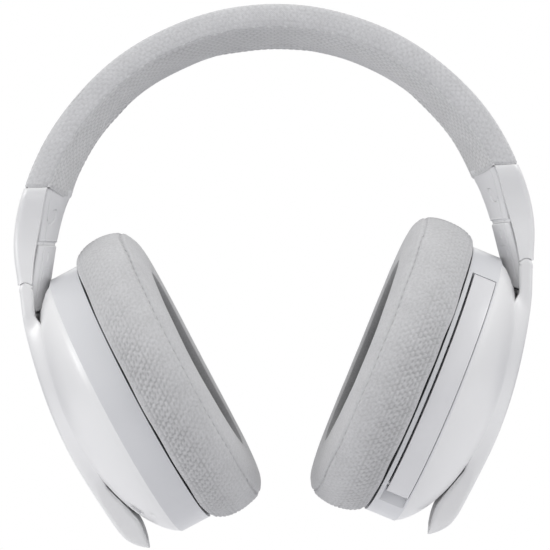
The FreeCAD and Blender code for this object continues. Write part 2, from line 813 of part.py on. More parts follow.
def build_headband():
    save("headband_cover", headband_cover())
    save("headband_core", headband_core())
    save("headband_spring_band", headband_spring_band())
    save("crown_pad", crown_pad())
    save("headband_lead", headband_lead())
    rivets = Part.makeCompound(band_rivets())
    save("band_rivets", both_sides(rivets))
    screws = Part.makeCompound([cover_screw(z, y) for z, y in cover_screw_spots()])
    save("end_cover_screws", both_sides(screws))
    plugs = Part.makeCompound([end_cover_plug(z, y) for z, y in cover_screw_spots()])
    save("end_cover_plugs", both_sides(plugs))
    save("detent_springs", both_sides(detent_spring()))


def build_arm():
    shell = end_shell()
    bar = slider_bar()
    pieces = {
        "end_shell": shell,
        "end_cover": end_cover(shell),
        "slider_guide": slider_guide(),
        "slider_bar": bar,
        "slider_cover": slider_cover(),
        "blade": blade(),
        "blade_inlay": blade_inlay(),
        "hinge_pin": cross_rod(PIVOT_PIN_R, BLADE_HALF_W - 0.5, PIVOT_X, PIVOT_Z),
    }
    for name, shape in pieces.items():
        save("left_" + name, shape)
        save("right_" + name, mirrored(shape))


def build_cups():
    bands = {"left": left_band(), "right": right_band()}
    shared = {
        "driver_frame": driver_frame(),
        "driver_magnet": rod(12, Vec(0, 0, 6.05), Vec(0, 0, 10.8)),
        "diaphragm": diaphragm(),
        "cushion_ring": cushion_ring(),
        "driver_cloth": driver_cloth(),
        "ear_cushion": ear_cushion(),
        "cup_screws": cup_screws(),
    }
    domes = {"left": dome(), "right": dome().cut(mode_button_blank(BODY_GAP))}
    extras = {
        "left": {
            "mic_boom": mic_boom(),
            "mic_capsule": mic_capsule(),
            "mic_pivot_pin": pivot_disc(MIC_PIN_R, 0.5, BAND_H - 0.1),
            "volume_wheel": volume_wheel(),
            "volume_encoder": volume_encoder(),
            "mute_button": mute_button(),
            "usb_socket": usb_socket(),
            "jack_socket": jack_socket(),
            "main_board": main_board(),
        },
        "right": {
            "power_button": power_button(),
            "mode_button": mode_button_blank(0),
            "battery": battery(),
        },
    }
    for side in ("left", "right"):
        pieces = {side + "_" + name: shape for name, shape in shared.items()}
        pieces[side + "_band"] = bands[side]
        pieces[side + "_dome"] = domes[side]
        pieces[side + "_baffle"] = baffle(bands[side])
        pieces.update(extras[side])
        for name, shape in pieces.items():
            placed = in_place(shape)
            save(name, placed if side == "left" else mirrored(placed))


os.makedirs("parts", exist_ok=True)
build_headband()
build_arm()
build_cups()
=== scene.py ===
import json
import math

import bpy
import numpy as np
from mathutils import Matrix, Vector


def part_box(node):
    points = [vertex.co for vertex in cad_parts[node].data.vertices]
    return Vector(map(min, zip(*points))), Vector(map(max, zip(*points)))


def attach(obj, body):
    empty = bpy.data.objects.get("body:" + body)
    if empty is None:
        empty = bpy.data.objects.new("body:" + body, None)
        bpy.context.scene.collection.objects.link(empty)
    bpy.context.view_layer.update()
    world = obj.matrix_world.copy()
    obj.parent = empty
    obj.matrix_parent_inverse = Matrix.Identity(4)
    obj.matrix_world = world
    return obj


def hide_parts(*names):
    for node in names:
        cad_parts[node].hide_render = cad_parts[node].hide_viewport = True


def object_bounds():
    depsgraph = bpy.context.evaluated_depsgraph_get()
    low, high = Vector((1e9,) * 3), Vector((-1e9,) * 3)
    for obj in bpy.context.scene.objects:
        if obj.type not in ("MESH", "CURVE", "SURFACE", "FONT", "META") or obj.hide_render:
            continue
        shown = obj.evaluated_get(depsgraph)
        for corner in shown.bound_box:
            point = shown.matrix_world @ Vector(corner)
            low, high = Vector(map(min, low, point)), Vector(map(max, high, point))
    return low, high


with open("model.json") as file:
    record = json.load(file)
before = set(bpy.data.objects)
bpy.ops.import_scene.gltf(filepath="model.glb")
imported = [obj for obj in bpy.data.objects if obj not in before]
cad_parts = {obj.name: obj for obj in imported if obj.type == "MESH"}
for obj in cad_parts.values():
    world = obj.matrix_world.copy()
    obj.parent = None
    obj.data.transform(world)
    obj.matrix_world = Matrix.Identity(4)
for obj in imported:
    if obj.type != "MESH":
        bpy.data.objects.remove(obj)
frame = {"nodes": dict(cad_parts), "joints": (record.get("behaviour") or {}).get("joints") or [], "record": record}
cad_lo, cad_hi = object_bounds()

# Lengths in this script are millimetres until a mesh is made.
MM = 0.001
SIDES = {"left": 1, "right": -1}
JOINTS = {joint["name"]: joint for joint in frame["joints"]}
NODES = frame["nodes"]

# ---------------- places read from the frame


def box_mm(node):
    lo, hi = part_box(node)
    return np.array(lo) / MM, np.array(hi) / MM


RING_MID_O = -1.2  # the cushion ring spans o = -2.4 to 0
OUT = np.array(JOINTS["mic_swing"]["axis"], float)
UP = np.array([-OUT[2], 0.0, OUT[0]])
CUP = np.mean(box_mm("left_cushion_ring"), axis=0) - OUT * RING_MID_O
PIVOT = np.array(JOINTS["left_tilt"]["pos_m"], float) / MM
ARCH_LOW, ARCH_HIGH = box_mm("headband_cover")
ARCH_HALF_W, ARCH_TOP, ARCH_END_Z = ARCH_HIGH[1], ARCH_HIGH[2], ARCH_LOW[2]
CROWN_R = 74.8  # arch centre to the crown pad's lowest line, which is z = 0
PAD_EDGE_R = 80.2
ARCH_R = CROWN_R + ARCH_TOP

OVAL = (48.7, 40.0, 34.0)  # the band's four-arc oval: half length, half width, end radius
HOLE = (30.0, 21.0, 18.0)
CUSHION_GROW = 4.25
CUSHION_SHIFT = 1.0
BAND_H = 10.5
DOME_BASE = 4.0
DOME_RISE = 24.5  # height of the dome's ellipsoid over its base


def cup_points(side, points):
    """Points in a cup's frame (x to the rear, y up the cup, o away from the ear), put in the row frame."""
    x, y, o = np.moveaxis(points, -1, 0)
    return np.stack([
        side * (CUP[0] + UP[0] * y + OUT[0] * o),
        CUP[1] + x,
        CUP[2] + UP[2] * y + OUT[2] * o,
    ], axis=-1)


# ---------------- numbers and curves


def smoothstep(a, b, x):
    t = np.clip((np.asarray(x, float) - a) / (b - a), 0, 1)
    return t * t * (3 - 2 * t)


def smooth_max(a, b, width):
    h = np.clip(0.5 + 0.5 * (a - b) / width, 0, 1)
    return b + (a - b) * h + width * h * (1 - h)


def waves(seed, count, lengths, coords):
    """Smooth repeatable unevenness, about -1 to 1: a sum of sine waves in random directions."""
    rng = np.random.default_rng(seed)
    total = np.zeros(np.broadcast(*coords).shape)
    for _ in range(count):
        k = 2 * math.pi / rng.uniform(*lengths)
        turn = rng.uniform(0, 2 * math.pi)
        phase = rng.uniform(0, 2 * math.pi)
        total += np.sin(k * (coords[0] * math.cos(turn) + coords[1] * math.sin(turn)) + phase)
    return total / math.sqrt(count)


def spline(a, b, c, d, t):
    """The Catmull-Rom curve from b to c at t, where a comes before them and d after."""
    return 0.5 * (2 * b + (c - a) * t + (2 * a - 5 * b + 4 * c - d) * t ** 2
                  + (3 * b - a - 3 * c + d) * t ** 3)


def arc_length(points):
    """Distance along a line of points, counted from the first."""
    return np.concatenate([[0], np.cumsum(np.linalg.norm(np.diff(points, axis=0), axis=1))])


def catmull(points, count, closed):
    """A smooth curve through the points, as count points at even steps of arc length."""
    p = np.asarray(points, float)
    if closed:
        p = np.vstack([p[-1], p, p[0], p[1]])
    else:
        p = np.vstack([2 * p[0] - p[1], p, 2 * p[-1] - p[-2]])
    t = np.linspace(0, 1, 24, endpoint=False)[:, None]
    parts = [spline(*four, t) for four in zip(p, p[1:], p[2:], p[3:])]
    return resample(np.vstack(parts + [p[-2][None]]), count, closed)


def read_at(at, s, rows):
    """Rows that are known at distances s, read at other distances."""
    return np.stack([np.interp(at, s, column) for column in rows.T], axis=1)


def resample(dense, count, closed, axes=None):
    """Rows at even steps of arc length, which is measured in the first axes columns or in all."""
    s = arc_length(dense[:, :axes])
    return read_at(np.linspace(0, s[-1], count, endpoint=not closed), s, dense)


def oval(half_l, half_w, end_r, count):
    """Points at even steps round a four-arc oval, from its rear-most point, and their outward normals."""
    rise = half_l - end_r
    side_r = (end_r ** 2 - half_w ** 2 - rise ** 2) / (2 * (end_r - half_w))
    turn = math.atan2(rise, side_r - half_w)
    psi = np.linspace(0, 2 * math.pi, 2881)
    on_side = np.abs(np.cos(psi)) > math.cos(turn)
    radius = np.where(on_side, side_r, end_r)
    cx = np.where(on_side, np.sign(np.cos(psi)) * (half_w - side_r), 0)
    cy = np.where(on_side, 0, np.sign(np.sin(psi)) * rise)
    dense = np.stack([cx + radius * np.cos(psi), cy + radius * np.sin(psi), psi], axis=1)
    out = resample(dense, count, True, 2)
    normal = np.stack([np.cos(out[:, 2]), np.sin(out[:, 2])], axis=1)
    return out[:, :2], normal


def refine(grid, times_u, times_v, wrap_u):
    """A finer grid of points through a coarse one, by Catmull-Rom interpolation along each direction."""
    for axis, times, wrap in ((0, times_u, wrap_u), (1, times_v, True)):
        g = np.moveaxis(grid, axis, 0)
        n = len(g)
        at = np.arange(n * times if wrap else (n - 1) * times + 1) / times
        base = np.minimum(np.floor(at).astype(int), n - 1 if wrap else n - 2)
        index = [(base + k) % n if wrap else np.clip(base + k, 0, n - 1) for k in (-1, 0, 1, 2)]
        t = (at - base).reshape((-1,) + (1,) * (g.ndim - 1))
        grid = np.moveaxis(spline(*(g[i] for i in index), t), 0, axis)
    return grid


def grid_normals(grid, wrap_u):
    along = np.roll(grid, -1, 0) - np.roll(grid, 1, 0) if wrap_u else np.gradient(grid, axis=0)
    normal = np.cross(along, np.roll(grid, -1, 1) - np.roll(grid, 1, 1))
    return normal / np.maximum(np.linalg.norm(normal, axis=-1, keepdims=True), 1e-12)


def cells(u, v, width, pitch, tilt):
    """Raised scale-like cells in staggered rows: 1 on a cell's crown, 0 in the groove between cells."""
    best = np.full(np.broadcast(u, v).shape, 9.0)
    lean = np.zeros(best.shape)
    for half in (0.0, 0.5):
        du = (u / width + half) % 1 - 0.5
        dv = (v / (2 * pitch) + half) % 1 - 0.5
        far = 2 * np.sqrt(du ** 2 + 3 * dv ** 2)
        nearer = far < best
        best = np.where(nearer, far, best)
        lean = np.where(nearer, dv, lean)
    plate = 1 - smoothstep(0.5, 1.08, best)
    return plate * (1 + tilt * 3 * lean)


def painted_groove_shade(emboss, share):
    """Painted shade in the grooves between the cloth's cells: how much the cloth's colour is darkened there, from
    0 to 1.
    """
    return (1 - smoothstep(0.0, 0.55, emboss)) * share


# ---------------- meshes


def add_object(name, data):
    obj = bpy.data.objects.new(name, data)
    bpy.context.scene.collection.objects.link(obj)
    return obj


def mesh_object(name, points_mm, faces, material, uv=None):
    mesh = bpy.data.meshes.new(name)
    mesh.from_pydata((np.asarray(points_mm) * MM).tolist(), [], faces)
    if uv is not None:
        layer = mesh.uv_layers.new(name="cloth_mm")
        corner = np.zeros(len(mesh.loops), int)
        mesh.loops.foreach_get("vertex_index", corner)
        layer.data.foreach_set("uv", np.asarray(uv, np.float32)[corner].ravel())
    mesh.polygons.foreach_set("use_smooth", [True] * len(mesh.polygons))
    mesh.update()
    obj = add_object(name, mesh)
    obj.data.materials.append(material)
    return obj


def lattice_faces(nu, nv, wrap_u, flip, caps):
    """Faces over nu rings of nv points. caps closes the first and the last ring."""
    a, b = np.meshgrid(np.arange(nu if wrap_u else nu - 1), np.arange(nv), indexing="ij")
    c, d = (a + 1) % nu, (b + 1) % nv
    quads = np.stack([a * nv + b, c * nv + b, c * nv + d, a * nv + d], axis=-1).reshape(-1, 4)
    if flip:
        quads = quads[:, ::-1]
    faces = quads.tolist()
    if caps:
        first, last = list(range(nv)), list(range((nu - 1) * nv, nu * nv))
        faces += [first, last[::-1]] if flip else [first[::-1], last]
    return faces


def lattice(name, grid, material, wrap_u=False, flip=False, uv=None, caps=False):
    """A mesh over a grid of points, each row of which is a closed ring."""
    faces = lattice_faces(*grid.shape[:2], wrap_u, flip, caps)
    flat_uv = None if uv is None else uv.reshape(-1, 2)
    return mesh_object(name, grid.reshape(-1, 3), faces, material, flat_uv)


def paint(obj, name, values):
    """Store one number on each point of a mesh, for its material to read."""
    layer = obj.data.attributes.new(name, "FLOAT", "POINT")
    layer.data.foreach_set("value", np.asarray(values, np.float32).ravel())


# ---------------- materials


class Look:
    """A Principled material with a few helpers for its node tree."""

    def __init__(self, name, base, roughness, **sockets):
        self.material = bpy.data.materials.new(name)
        self.material.use_nodes = True
        self.tree = self.material.node_tree
        self.shader = self.tree.nodes["Principled BSDF"]
        self.base = base
        self.set("Base Color", (*base, 1))
        self.set("Roughness", roughness)
        for key, value in sockets.items():
            self.set(key.replace("_", " "), value)

    def set(self, socket, value):
        self.shader.inputs[socket].default_value = value

    def add(self, kind, inputs=(), **properties):
        node = self.tree.nodes.new("ShaderNode" + kind)
        for key, value in properties.items():
            setattr(node, key, value)
        for key, value in dict(inputs).items():
            if isinstance(value, bpy.types.NodeSocket):
                self.tree.links.new(value, node.inputs[key])
            else:
                node.inputs[key].default_value = value
        return node

    def place_mm(self):
        """The object's own coordinates, in millimetres."""
        coord = self.add("TexCoord").outputs["Object"]
        return self.add("VectorMath", {0: coord, 1: (1000, 1000, 1000)}, operation="MULTIPLY").outputs[0]

    def cloth_mm(self):
        return self.add("UVMap", uv_map="cloth_mm").outputs[0]

    def noise(self, vector, size, detail=3.0, stretch=(1, 1, 1)):
        scaled = self.add("VectorMath", {0: vector, 1: stretch}, operation="MULTIPLY").outputs[0]
        node = self.add("TexNoise", {"Vector": scaled, "Scale": 1 / size, "Detail": detail})
        return node.outputs[0]

    def math(self, operation, a, b=0.0):
        return self.add("Math", {0: a, 1: b}, operation=operation).outputs[0]

    def tint(self, factor, dark, light=1.0, span=(0.3, 0.7)):
        """Base colour that runs from dark to light times the material's own colour."""
        ramp = self.add("ValToRGB", {0: factor})
        low, high = ramp.color_ramp.elements
        low.position, high.position = span
        low.color = (*[c * dark for c in self.base], 1)
        high.color = (*[c * light for c in self.base], 1)
        self.tree.links.new(ramp.outputs[0], self.shader.inputs["Base Color"])

    def vary_roughness(self, factor, low, high):
        node = self.add("MapRange", {0: factor, 1: 0.3, 2: 0.7, 3: low, 4: high})
        self.tree.links.new(node.outputs[0], self.shader.inputs["Roughness"])

    def bump(self, height, depth_mm):
        inputs = {"Height": height, "Distance": depth_mm * MM, "Strength": 1.0}
        if self.shader.inputs["Normal"].is_linked:
            inputs["Normal"] = self.shader.inputs["Normal"].links[0].from_socket
        node = self.add("Bump", inputs)
        self.tree.links.new(node.outputs[0], self.shader.inputs["Normal"])


def moulded(name, base, roughness, grain_mm, grain_depth, coat=None):
    """Moulded plastic: faint tone drift, uneven gloss and a fine surface grain."""
    look = Look(name, base, roughness)
    if coat:
        look.set("Coat Weight", coat[0])
        look.set("Coat Roughness", coat[1])
    place = look.place_mm()
    look.tint(look.noise(place, 26, 2), 0.975)
    look.vary_roughness(look.noise(place, 7, 4), roughness - 0.03, roughness + 0.04)
    look.bump(look.noise(place, grain_mm, 2), grain_depth)
    return look.material


def brushed(name, base, roughness):
    look = Look(name, base, roughness, Metallic=1.0)
    place = look.place_mm()
    lines = look.noise(place, 0.5, 3, (1, 0.06, 1))
    look.tint(lines, 0.8, 1.05)
    look.vary_roughness(lines, roughness - 0.08, roughness + 0.1)
    look.bump(lines, 0.01)
    return look.material


def woven(name, base, pitch, depth, melange, sheen):
    """Cloth on a mesh that carries its own lie in millimetres: crossed yarns, mixed tones and a soft nap."""
    look = Look(name, base, 0.88)
    look.set("Sheen Weight", sheen)
    look.set("Sheen Roughness", 0.5)
    look.set("Specular IOR Level", 0.25)
    cloth = look.cloth_mm()
    parts = look.add("SeparateXYZ", {0: cloth})
    wander = look.noise(cloth, 1.7, 2)
    along = look.math("ADD", parts.outputs[0], look.math("MULTIPLY", wander, pitch * 0.5))
    yarn_u = look.math("SINE", look.math("MULTIPLY", along, 2 * math.pi / pitch))
    yarn_v = look.math("SINE", look.math("MULTIPLY", parts.outputs[1], 2 * math.pi / pitch))
    over = look.math("ADD", look.math("MULTIPLY", look.math("MULTIPLY", yarn_u, yarn_v), 0.5), 0.5)
    flecks = look.noise(cloth, 0.9, 4)
    blotch = look.noise(cloth, 9, 2)
    tone = look.math("ADD", look.math("MULTIPLY", flecks, 0.7), look.math("MULTIPLY", blotch, 0.3))
    tone = look.math("ADD", look.math("MULTIPLY", over, 0.22), look.math("MULTIPLY", tone, 0.78))
    # Painted shade: the tone is darkened where the groove attribute marks the grooves between the cloth's cells
    groove = look.add("Attribute", attribute_name="groove").outputs["Fac"]
    tone = look.math("SUBTRACT", tone, look.math("MULTIPLY", groove, 0.36))
    look.tint(tone, 1 - 2 * melange, 1 + melange * 0.6, (0.1, 0.7))
    look.bump(over, depth)
    look.bump(flecks, depth * 0.8)
    return look.material


# Colour, roughness, size and depth of the grain in mm, and the clear coat where there is one
MOULDED = {
    "white_shell": ((0.735, 0.735, 0.74), 0.38, 0.5, 0.004, (0.8, 0.32)),
    "white_band": ((0.60, 0.605, 0.625), 0.34, 0.5, 0.005, (0.7, 0.30)),
    "mic_shell": ((0.64, 0.64, 0.655), 0.33, 0.5, 0.005, (0.4, 0.25)),
    "grey_cover": ((0.76, 0.76, 0.77), 0.5, 0.35, 0.012),
    "inlay": ((0.42, 0.42, 0.425), 0.55, 0.35, 0.015),
    "inner_plastic": ((0.035, 0.035, 0.037), 0.5, 0.6, 0.02),
    "button": ((0.64, 0.64, 0.65), 0.42, 0.3, 0.01),
    "lead": ((0.02, 0.02, 0.02), 0.6, 0.4, 0.02),
    "board": ((0.01, 0.12, 0.05), 0.4, 1.2, 0.02),
    "cell": ((0.5, 0.5, 0.52), 0.35, 1.5, 0.03),
    "film": ((0.42, 0.36, 0.26), 0.25, 1.0, 0.01),
}
# Colour and roughness
BRUSHED = {
    "steel": ((0.62, 0.62, 0.63), 0.3),
    "magnet": ((0.5, 0.5, 0.52), 0.35),
    "socket_metal": ((0.66, 0.66, 0.67), 0.25),
}
# Colour, pitch and depth of the yarns in mm, how far their tones differ, and the nap
WOVEN = {
    "arch_fabric": ((0.585, 0.585, 0.595), 0.62, 0.06, 0.15, 0.25),
    "pad_fabric": ((0.65, 0.65, 0.655), 0.5, 0.05, 0.14, 0.25),
    "cushion_fabric": ((0.535, 0.535, 0.544), 0.5, 0.06, 0.15, 0.3),
    "hole_fabric": ((0.25, 0.25, 0.255), 0.7, 0.08, 0.25, 0.2),
}
MATERIALS = {
    name: make(name, *values)
    for make, table in ((moulded, MOULDED), (brushed, BRUSHED), (woven, WOVEN))
    for name, values in table.items()
}


def finish_cad_nodes():
    """Every CAD node gets the finish of its own slot, before any piece replaces it."""
    for part in frame["record"]["subparts"]:
        node = NODES[part["node"]]
        node.data.materials.clear()
        node.data.materials.append(MATERIALS[part["material_slot"]])


# The driver's cloth keeps its CAD solid, which has no cloth lie of its own
def acoustic_cloth():
    look = Look("driver_cloth", (0.17, 0.17, 0.175), 0.9)
    look.set("Sheen Weight", 0.2)
    place = look.place_mm()
    mesh = look.add("TexVoronoi", {"Vector": place, "Scale": 1.6, "Randomness": 0.25})
    look.tint(mesh.outputs[0], 0.5, 1.3)
    look.bump(mesh.outputs[0], 0.1)
    return look.material


def thread():
    look = Look("thread", (0.52, 0.52, 0.53), 0.7)
    place = look.place_mm()
    strands = look.noise(place, 0.12, 2)
    look.tint(strands, 0.8, 1.1)
    look.bump(strands, 0.03)
    return look.material


MATERIALS["thread"] = thread()
MATERIALS["driver_cloth"] = acoustic_cloth()
finish_cad_nodes()

# ---------------- studio

VIEW_DISTANCE = 590.0
CAMERA_Z = -87.7
AIM = (-0.3, 0.0, -77.4)
CAMERA_ROLL = math.radians(2.8)
FRAME_WIDTH = 189.75
SENSOR = 36.0
# Light of the tent round the object, from straight below (0) to straight above (1)
TENT = (
    (0.00, (0.48, 0.48, 0.49)), (0.08, (0.36, 0.36, 0.38)), (0.18, (0.10, 0.11, 0.16)),
    (0.38, (0.11, 0.12, 0.16)), (0.50, (0.40, 0.40, 0.41)), (0.62, (0.84, 0.84, 0.84)),
    (1.00, (0.84, 0.84, 0.84)),
)


def make_camera():
    data = bpy.data.cameras.new("camera")
    camera = add_object("camera", data)
    data.sensor_width = SENSOR
    data.lens = SENSOR * VIEW_DISTANCE / FRAME_WIDTH
    data.clip_start = 0.01
    eye = Vector((0, -VIEW_DISTANCE, CAMERA_Z)) * MM
    back = (eye - Vector(AIM) * MM).normalized()
    top = Vector((math.sin(CAMERA_ROLL), 0, math.cos(CAMERA_ROLL)))
    right = top.cross(back).normalized()
    true_up = back.cross(right)
    turn = Matrix((right, true_up, back)).transposed()
    camera.matrix_world = Matrix.Translation(eye) @ turn.to_4x4()
    bpy.context.scene.camera = camera


def area_light(name, place, target, size, power):
    data = bpy.data.lights.new(name, "AREA")
    data.shape = "DISK"
    data.size = size
    data.energy = power
    lamp = add_object(name, data)
    lamp.location = place
    lamp.rotation_euler = (Vector(target) - Vector(place)).to_track_quat("-Z", "Y").to_euler()


def make_studio():
    scene = bpy.context.scene
    scene.view_settings.view_transform = "Standard"
    world = bpy.data.worlds.new("studio")
    scene.world = world
    world.use_nodes = True
    tree = world.node_tree
    add, link = tree.nodes.new, tree.links.new
    background = tree.nodes["Background"]
    background.inputs[1].default_value = 1.0
    # A tent of light, dimmer below, against a plain white wall
    height = add("ShaderNodeSeparateXYZ")
    link(add("ShaderNodeTexCoord").outputs["Generated"], height.inputs[0])
    level = add("ShaderNodeMapRange")
    level.inputs[1].default_value = -1.0
    link(height.outputs[2], level.inputs[0])
    ramp = add("ShaderNodeValToRGB")
    stops = ramp.color_ramp.elements
    stops[1].position = 1.0
    for place, colour in TENT[1:-1]:
        stops.new(place)
    for stop, (place, colour) in zip(stops, TENT):
        stop.position = place
        stop.color = (*colour, 1)
    link(level.outputs[0], ramp.inputs[0])
    seen = add("ShaderNodeLightPath")
    wall = add("ShaderNodeMix")
    wall.data_type = "RGBA"
    wall.inputs["B"].default_value = (1, 1, 1, 1)
    link(seen.outputs["Is Camera Ray"], wall.inputs["Factor"])
    link(ramp.outputs[0], wall.inputs["A"])
    link(wall.outputs["Result"], background.inputs[0])

    floor_look = Look("floor", (0.76, 0.76, 0.78), 0.7)
    floor_look.tint(floor_look.noise(floor_look.place_mm(), 90, 2), 0.99)
    ring = np.linspace(0, 2 * math.pi, 96, endpoint=False)
    radii = np.array([1.0, 200, 400, 600, 700, 720])
    level = cad_lo[2] / MM - 130
    grid = np.stack([
        radii[:, None] * np.cos(ring),
        radii[:, None] * np.sin(ring),
        np.full((len(radii), len(ring)), level),
    ], axis=-1)
    floor = lattice("floor", grid, floor_look.material)
    area_light("key", (-0.10, -0.35, 0.90), (0, 0, -0.08), 0.7, 2.15)
    area_light("left_front", (-0.95, -0.42, 0.10), (0, 0, -0.09), 0.42, 3.3)
    area_light("right_front", (0.88, -0.42, 0.42), (0, 0, -0.06), 0.42, 3.3)
    area_light("back", (0.0, 0.8, 0.5), (0, 0, -0.05), 0.9, 1.2)


make_camera()
make_studio()

# ---------------- ear cushions

# Section of the foam ring: how far inwards from its widest outline, and the level o
CUSHION_SECTION = (
    (23.9, -3.4), (15.0, -3.3), (7.2, -3.2), (6.5, -2.2), (6.3, -0.9), (4.6, -0.6), (3.2, -1.0),
    (1.9, -3.0), (0.9, -6.0), (0.5, -10.0), (0.8, -14.0), (1.5, -17.0), (2.3, -18.5), (3.6, -19.6),
    (6.2, -20.8), (10.0, -21.5), (14.5, -21.6), (18.8, -21.2), (21.2, -20.3), (22.8, -18.0),
    (23.6, -13.5), (23.9, -7.0),
)
SEAM_O = -18.5  # level of the stitched seam round the cushion
HOLE_SEAM = 19.0  # where the face's cloth meets the darker lining of the hole
CUSHION_THICK = 23.9
CUSHION_LAP = 305.0  # length of cloth once round the cushion
STITCH_PITCH = 3.05
CELL_PITCH = 1.32  # between the rows of embossed cells, on every fabric
COARSE_ROUND = 148
COARSE_SECTION = 56
FINE_ROUND = 4
FINE_SECTION = 3
SWELL_CAP = 1.3  # how far the side cloth may move as it is blown up
FACE_CAP = 0.08  # and the face, which is drawn tight over the foam
SIM_SCALE = 20.0  # cloth is simulated this much larger, where springs and pressure balance
SIM_FRAMES = 20


def blow_up(name, grid, held, flip, wrap_u, cap):
    """Blow a padded skin up by cloth simulation, holding its seams, and return its moved points.

    held is 1 where the skin is clamped, 0.7 where it is sewn and 0 where it is free.
    """
    faces = lattice_faces(*grid.shape[:2], wrap_u, flip, not wrap_u)
    centre = grid.reshape(-1, 3).mean(axis=0)
    skin = mesh_object(name, (grid.reshape(-1, 3) - centre) * SIM_SCALE, faces, MATERIALS["cushion_fabric"])
    pins = skin.vertex_groups.new(name="sewn")
    for level in (1.0, 0.7):
        pins.add(np.flatnonzero(held.ravel() == level).tolist(), level, "REPLACE")
    cloth = skin.modifiers.new("cloth", "CLOTH")
    settings = cloth.settings
    settings.quality = 5
    settings.mass = 0.25
    settings.tension_stiffness = 5
    settings.compression_stiffness = 5
    settings.shear_stiffness = 2
    settings.bending_stiffness = 0.4
    settings.use_pressure = True
    settings.uniform_pressure_force = 4.0
    settings.vertex_group_mass = "sewn"
    settings.pin_stiffness = 1.0
    settings.effector_weights.gravity = 0
    cloth.collision_settings.use_collision = False
    cloth.point_cache.frame_start = 1
    cloth.point_cache.frame_end = SIM_FRAMES
    scene = bpy.context.scene
    for step in range(1, SIM_FRAMES + 1):
        scene.frame_set(step)
    shaped = skin.evaluated_get(bpy.context.evaluated_depsgraph_get()).to_mesh()
    moved = np.zeros(len(shaped.vertices) * 3, np.float32)
    shaped.vertices.foreach_get("co", moved)
    moved = moved.reshape(grid.shape).astype(float) / MM / SIM_SCALE + centre
    bpy.data.objects.remove(skin)
    scene.frame_set(1)
    shift = moved - grid
    far = np.linalg.norm(shift, axis=-1, keepdims=True)
    return grid + shift * np.minimum(1, cap / np.maximum(far, 1e-9))


def cushion_grid():
    """The foam ring's skin before it is blown up, in the cup's frame, with its section running round v."""
    half_l, half_w, end_r = (size + CUSHION_GROW for size in OVAL)
    edge, _ = oval(half_l, half_w, end_r, COARSE_ROUND)
    hole, _ = oval(*HOLE, COARSE_ROUND)
    edge += (0, CUSHION_SHIFT)
    hole = hole * (1, 0.95) + (0, 1.4)
    section = catmull(CUSHION_SECTION, COARSE_SECTION, True)
    share = section[:, 0] / CUSHION_THICK
    flat = edge[:, None] + (hole - edge)[:, None] * share[None, :, None]
    angle = np.arctan2(edge[:, 1], edge[:, 0])
    # The face stands a little higher at the cushion's two ends than at its sides
    front = smoothstep(-17.0, -20.5, section[:, 1])
    level = section[None, :, 1] + front * 0.45 * np.cos(2 * angle[:, None])
    return np.concatenate([flat, level[..., None]], axis=-1), section


def ear_cushion(side_name):
    side = SIDES[side_name]
    seed = 11 if side > 0 else 12
    coarse, section = cushion_grid()
    inwards, level = section.T
    behind = (level > -1.5) | (inwards > 23.0) & (level > -9.0) | (inwards > 5) & (level > -4)
    lip = (inwards > 18.5) & (level < -19.0)
    sewn = (np.abs(level - SEAM_O) < 0.75) & (inwards <= 12)
    held = np.broadcast_to(np.where(behind | lip, 1.0, np.where(sewn, 0.7, 0.0)), coarse.shape[:2])
    cap = SWELL_CAP + (FACE_CAP - SWELL_CAP) * smoothstep(SEAM_O, SEAM_O - 1.5, level)[None, :, None]
    coarse = blow_up(side_name + "_cushion_sim", coarse, held, True, True, cap)
    fine = refine(coarse, FINE_ROUND, FINE_SECTION, True)
    normal = grid_normals(fine, True)
    if np.sum((fine - fine.mean(axis=(0, 1))) * normal) < 0:
        normal = -normal
    nu = len(fine)
    # The cloth's lie: millimetres round the cushion and across its section
    round_mm = np.arange(nu) * CUSHION_LAP / nu
    steps = np.linalg.norm(np.roll(fine, -1, 1) - fine, axis=-1).mean(axis=0)
    across_mm = np.concatenate([[0], np.cumsum(steps)[:-1]])
    u, v = np.meshgrid(round_mm, across_mm, indexing="ij")
    o = fine[..., 2]
    inwards = np.broadcast_to(inwards, coarse.shape[:2])[..., None]
    inwards = refine(inwards, FINE_ROUND, FINE_SECTION, True)[..., 0]
    lateral = smoothstep(9.0, 5.0, inwards)
    patterned = lateral * smoothstep(SEAM_O - 0.4, SEAM_O + 1.2, o) * smoothstep(-0.9, -2.2, o)
    strong = 0.35 + 0.65 * smoothstep(-16.5, -6.0, o)
    lower = 0.55 + 0.45 * smoothstep(36, 5, fine[..., 1])
    emboss = cells(u, v, CUSHION_LAP / round(CUSHION_LAP / 2.25), CELL_PITCH, 0.5)
    relief = patterned * strong * lower
    height = 0.42 * emboss * relief
    seam = np.exp(-((o - SEAM_O) / 0.42) ** 2) * lateral
    height -= 0.55 * seam
    pucker = np.sin(u * 2 * math.pi / STITCH_PITCH) * np.exp(-((o - SEAM_O) / 1.5) ** 2) * lateral
    height += 0.06 * pucker
    height += (0.03 + 0.13 * lateral) * waves(seed, 7, (14, 40), (u, v)) * (inwards < 23)
    height -= 0.25 * np.exp(-((inwards - HOLE_SEAM) / 0.35) ** 2) * (o < -17)
    points = fine + normal * height[..., None]
    cushion = lattice(side_name + "_cushion", cup_points(side, points), MATERIALS["cushion_fabric"],
                      wrap_u=True, flip=side < 0, uv=np.stack([u, v], axis=-1))
    # Painted shade for the grooves between the embossed cells, which the cloth's material darkens
    paint(cushion, "groove", painted_groove_shade(emboss, relief))
    cushion.data.materials.append(MATERIALS["hole_fabric"])
    in_hole = (inwards > HOLE_SEAM) & (o > -22.5)
    cushion.data.polygons.foreach_set("material_index", in_hole.astype(int).ravel())
    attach(cushion, side_name + "_cup")
    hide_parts(side_name + "_ear_cushion")
    # The grid points nearest the seam, one for each step round the cushion
    nearest = (np.abs(o - SEAM_O) + np.where(inwards > 9, 50, 0)).argmin(axis=1)
    at_seam = np.arange(nu), nearest
    stitches(side_name + "_cushion_stitching", points[at_seam], normal[at_seam], side, side_name + "_cup")


